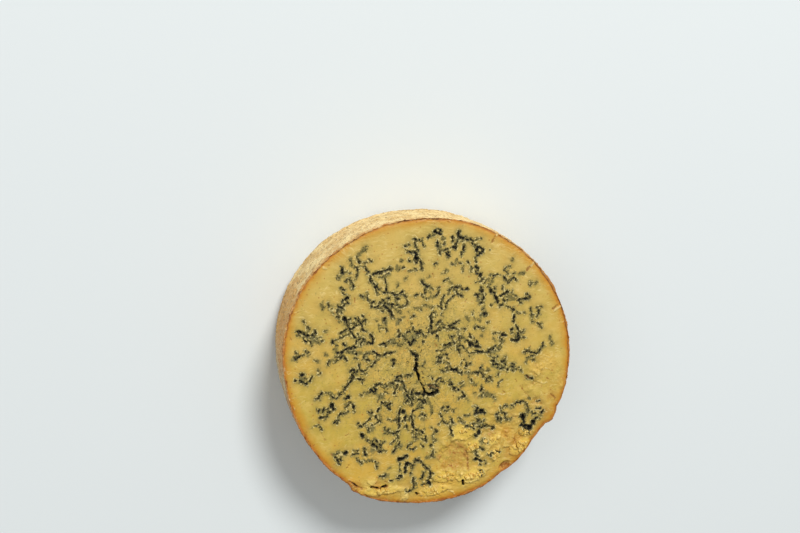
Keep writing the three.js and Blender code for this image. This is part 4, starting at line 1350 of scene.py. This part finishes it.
def rindMaterial():
    material, tree, shader, place = startMaterial("rind", 0.8)
    grain, fibres, pits = rindSkin(place)
    x, y, z = split(place)
    groove = clothLines(place, z)[1]
    blooms = noise(place, 8, 3.0, 0.6, 52.0)
    speck = noise(place, 3.0, 3.0, 0.65, 55.0)
    # The side that shows is pale at its middle and warm at its left end, partly its own cream and partly
    # painted light that brightens it where the lamps leave it dim; the side behind is grey-brown
    behind = x * 0.5 - y * 0.87
    pale = ramp(y * 0.9 - calc("ABSOLUTE", x + 40.0) * 0.3 + (blooms - 0.5) * 30.0, 8.0, 38.0)
    paleTone = mix(ramp(blooms, 0.38, 0.62), "#DFB974", "#F7DB9A")
    warm = ramp(y + (blooms - 0.5) * 40.0, 62.0, 44.0) * ramp(y, -10.0, 20.0) * ramp(x, -50.0, -80.0)
    colour = layered(mix(ramp(blooms, 0.35, 0.65), "#AC956C", "#CDB98E"), [
        (ramp(behind, -55.0, 0.0) * ramp(speck, 0.35, 0.6, 0.55, 0.2), "#86704C"),
        (pale, paleTone),
        (warm * ramp(blooms, 0.3, 0.6, 1.0, 0.7), "#E0A64C"),
    ])
    # Orange-brown patches and threads
    zone = ramp(noise(place, 24, 3.0, 0.6, 51.0), 0.42, 0.58) * ramp(behind, -80.0, -30.0, 0.4, 1.0)
    threads = zone * ramp(grain, 0.5, 0.6) * ramp(noise(place, 14, seed=74.0), 0.5, 0.58)
    colour = layered(colour, [
        (zone * ramp(speck, 0.4, 0.58) * (0.85 - pale * 0.6), "#C98138"),
        (zone * ramp(speck, 0.58, 0.66) * (0.9 - pale * 0.6), "#A8551C"),
        (threads * (0.8 - pale * 0.6), "#D9762A"),
    ])
    # Skin, foot, holes and the brown edge below the cut face, with painted shade in the low grain, pits,
    # groove and holes and towards the foot, and painted highlight on the high grain
    # Painted shade: darker towards the uncut end at the foot
    footShade = ramp(z + (blooms - 0.5) * 30.0 + (speck - 0.5) * 16.0, 2.0, 12.0, 0.5, 0.0)
    edge = ramp(z + (speck - 0.5) * 5.0, 53.0, 55.5) * ramp(behind, -35.0, 5.0, 0.35, 1.0)
    colour = layered(colour, [
        # Painted shade in the low grain and painted highlight on the high grain, which the relief pushes in
        # and out
        (ramp(grain, 0.47, 0.36, 0.0, 0.7), "#8F6F44"),
        (ramp(grain, 0.55, 0.66, 0.0, 0.42), "#F3E2B4"),
        (fibres * 0.3, "#F8E4AE"),
        # Painted shade in the pits and in the groove
        (pits * 0.7, "#7C5F3C"),
        (groove * 0.6, "#8A5F2C"),
        (footShade, "#A9854F"),
        # Painted shade inside the needle holes
        (painted(tree, "hole"), "#2A1A0C"),
        (edge, "#B3762E"),
        rimLayer(tree, place, ramp(z, 52.0, 55.0)),
    ])
    plug(tree, shader.inputs["Base Color"], colour)
    bump(tree, shader, noise(place, 0.7, 3.0, 0.6, 54.0), 0.2)
    return material


def finishPiece(piece, material, creased=False):
    piece.data.materials.clear()
    piece.data.materials.append(material)
    pick(piece)
    if creased:
        bpy.ops.object.shade_smooth_by_angle(angle=math.radians(35))
    else:
        bpy.ops.object.shade_smooth()
    x, y, z = places(piece)
    setPlaces(piece, x + drum["faceMiddle"][0], y + drum["faceMiddle"][1], z)
    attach(piece, "root")
    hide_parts("cheese")


paste = buildPaste()
print("paste modelled", len(paste.data.polygons), "faces")
applyRelief(paste, reliefTree("pasteRelief", pasteRelief))
crumbs = buildCrumbs(paste)
print("crumbs modelled", len(crumbs.data.polygons), "faces")
rind = buildRind()
print("rind modelled", len(rind.data.polygons), "faces")
applyRelief(rind, reliefTree("rindRelief", rindRelief))
rimLine = buildRimLine()
finishPiece(paste, pasteMaterial())
finishPiece(crumbs, crumbMaterial(), creased=True)
finishPiece(rind, rindMaterial())
print("finishes set")


# Floor, lights and camera

stage = {
    "floor": "#E4EAEA",
    "floorSize": 40,
    "camera": (-0.15693, 0.18824, 0.75245),
    "looks": (0.18966, -0.16927, -0.96715),
    "up": (0.03257, 0.98557, -0.16611),
    "lens": 49.5,
    "lights": [  # name, place, size and power
        ("key", (0.75, 2.6, 2.8), 1.3, 118),
        ("fill", (-2.6, 1.0, 3.0), 3.0, 24),
    ],
    "surroundings": 0.34,
}


def buildFloor():
    deselect()
    bpy.ops.mesh.primitive_plane_add(size=stage["floorSize"], location=(0, 0, 0))
    floor = bpy.context.object
    floor.name = "floor"
    material = bpy.data.materials.new("floor")
    material.use_nodes = True
    shader = material.node_tree.nodes["Principled BSDF"]
    shader.inputs["Base Color"].default_value = tone(stage["floor"])
    shader.inputs["Roughness"].default_value = 0.9
    shader.inputs["Specular IOR Level"].default_value = 0
    floor.data.materials.append(material)


def addLight(name, place, size, power):
    data = bpy.data.lights.new(name, "AREA")
    data.shape = "DISK"
    data.size = size
    data.energy = power
    light = bpy.data.objects.new(name, data)
    bpy.context.collection.objects.link(light)
    light.location = place
    light.rotation_euler = (-Vector(place)).to_track_quat("-Z", "Y").to_euler()


def addCamera():
    forward = Vector(stage["looks"]).normalized()
    right = forward.cross(Vector(stage["up"])).normalized()
    up = right.cross(forward)
    turn = Matrix((right, up, -forward)).transposed().to_4x4()
    data = bpy.data.cameras.new("camera")
    data.lens = stage["lens"]
    data.sensor_width = 36
    camera = bpy.data.objects.new("camera", data)
    bpy.context.collection.objects.link(camera)
    camera.matrix_world = Matrix.Translation(stage["camera"]) @ turn
    bpy.context.scene.camera = camera


buildFloor()
for light in stage["lights"]:
    addLight(*light)
addCamera()
world = bpy.data.worlds.new("studio")
world.use_nodes = True
backdrop = world.node_tree.nodes["Background"]
backdrop.inputs["Color"].default_value = (1, 1, 1, 1)
backdrop.inputs["Strength"].default_value = stage["surroundings"]
bpy.context.scene.world = world
bpy.context.scene.view_settings.view_transform = "Standard"
print("stage set")
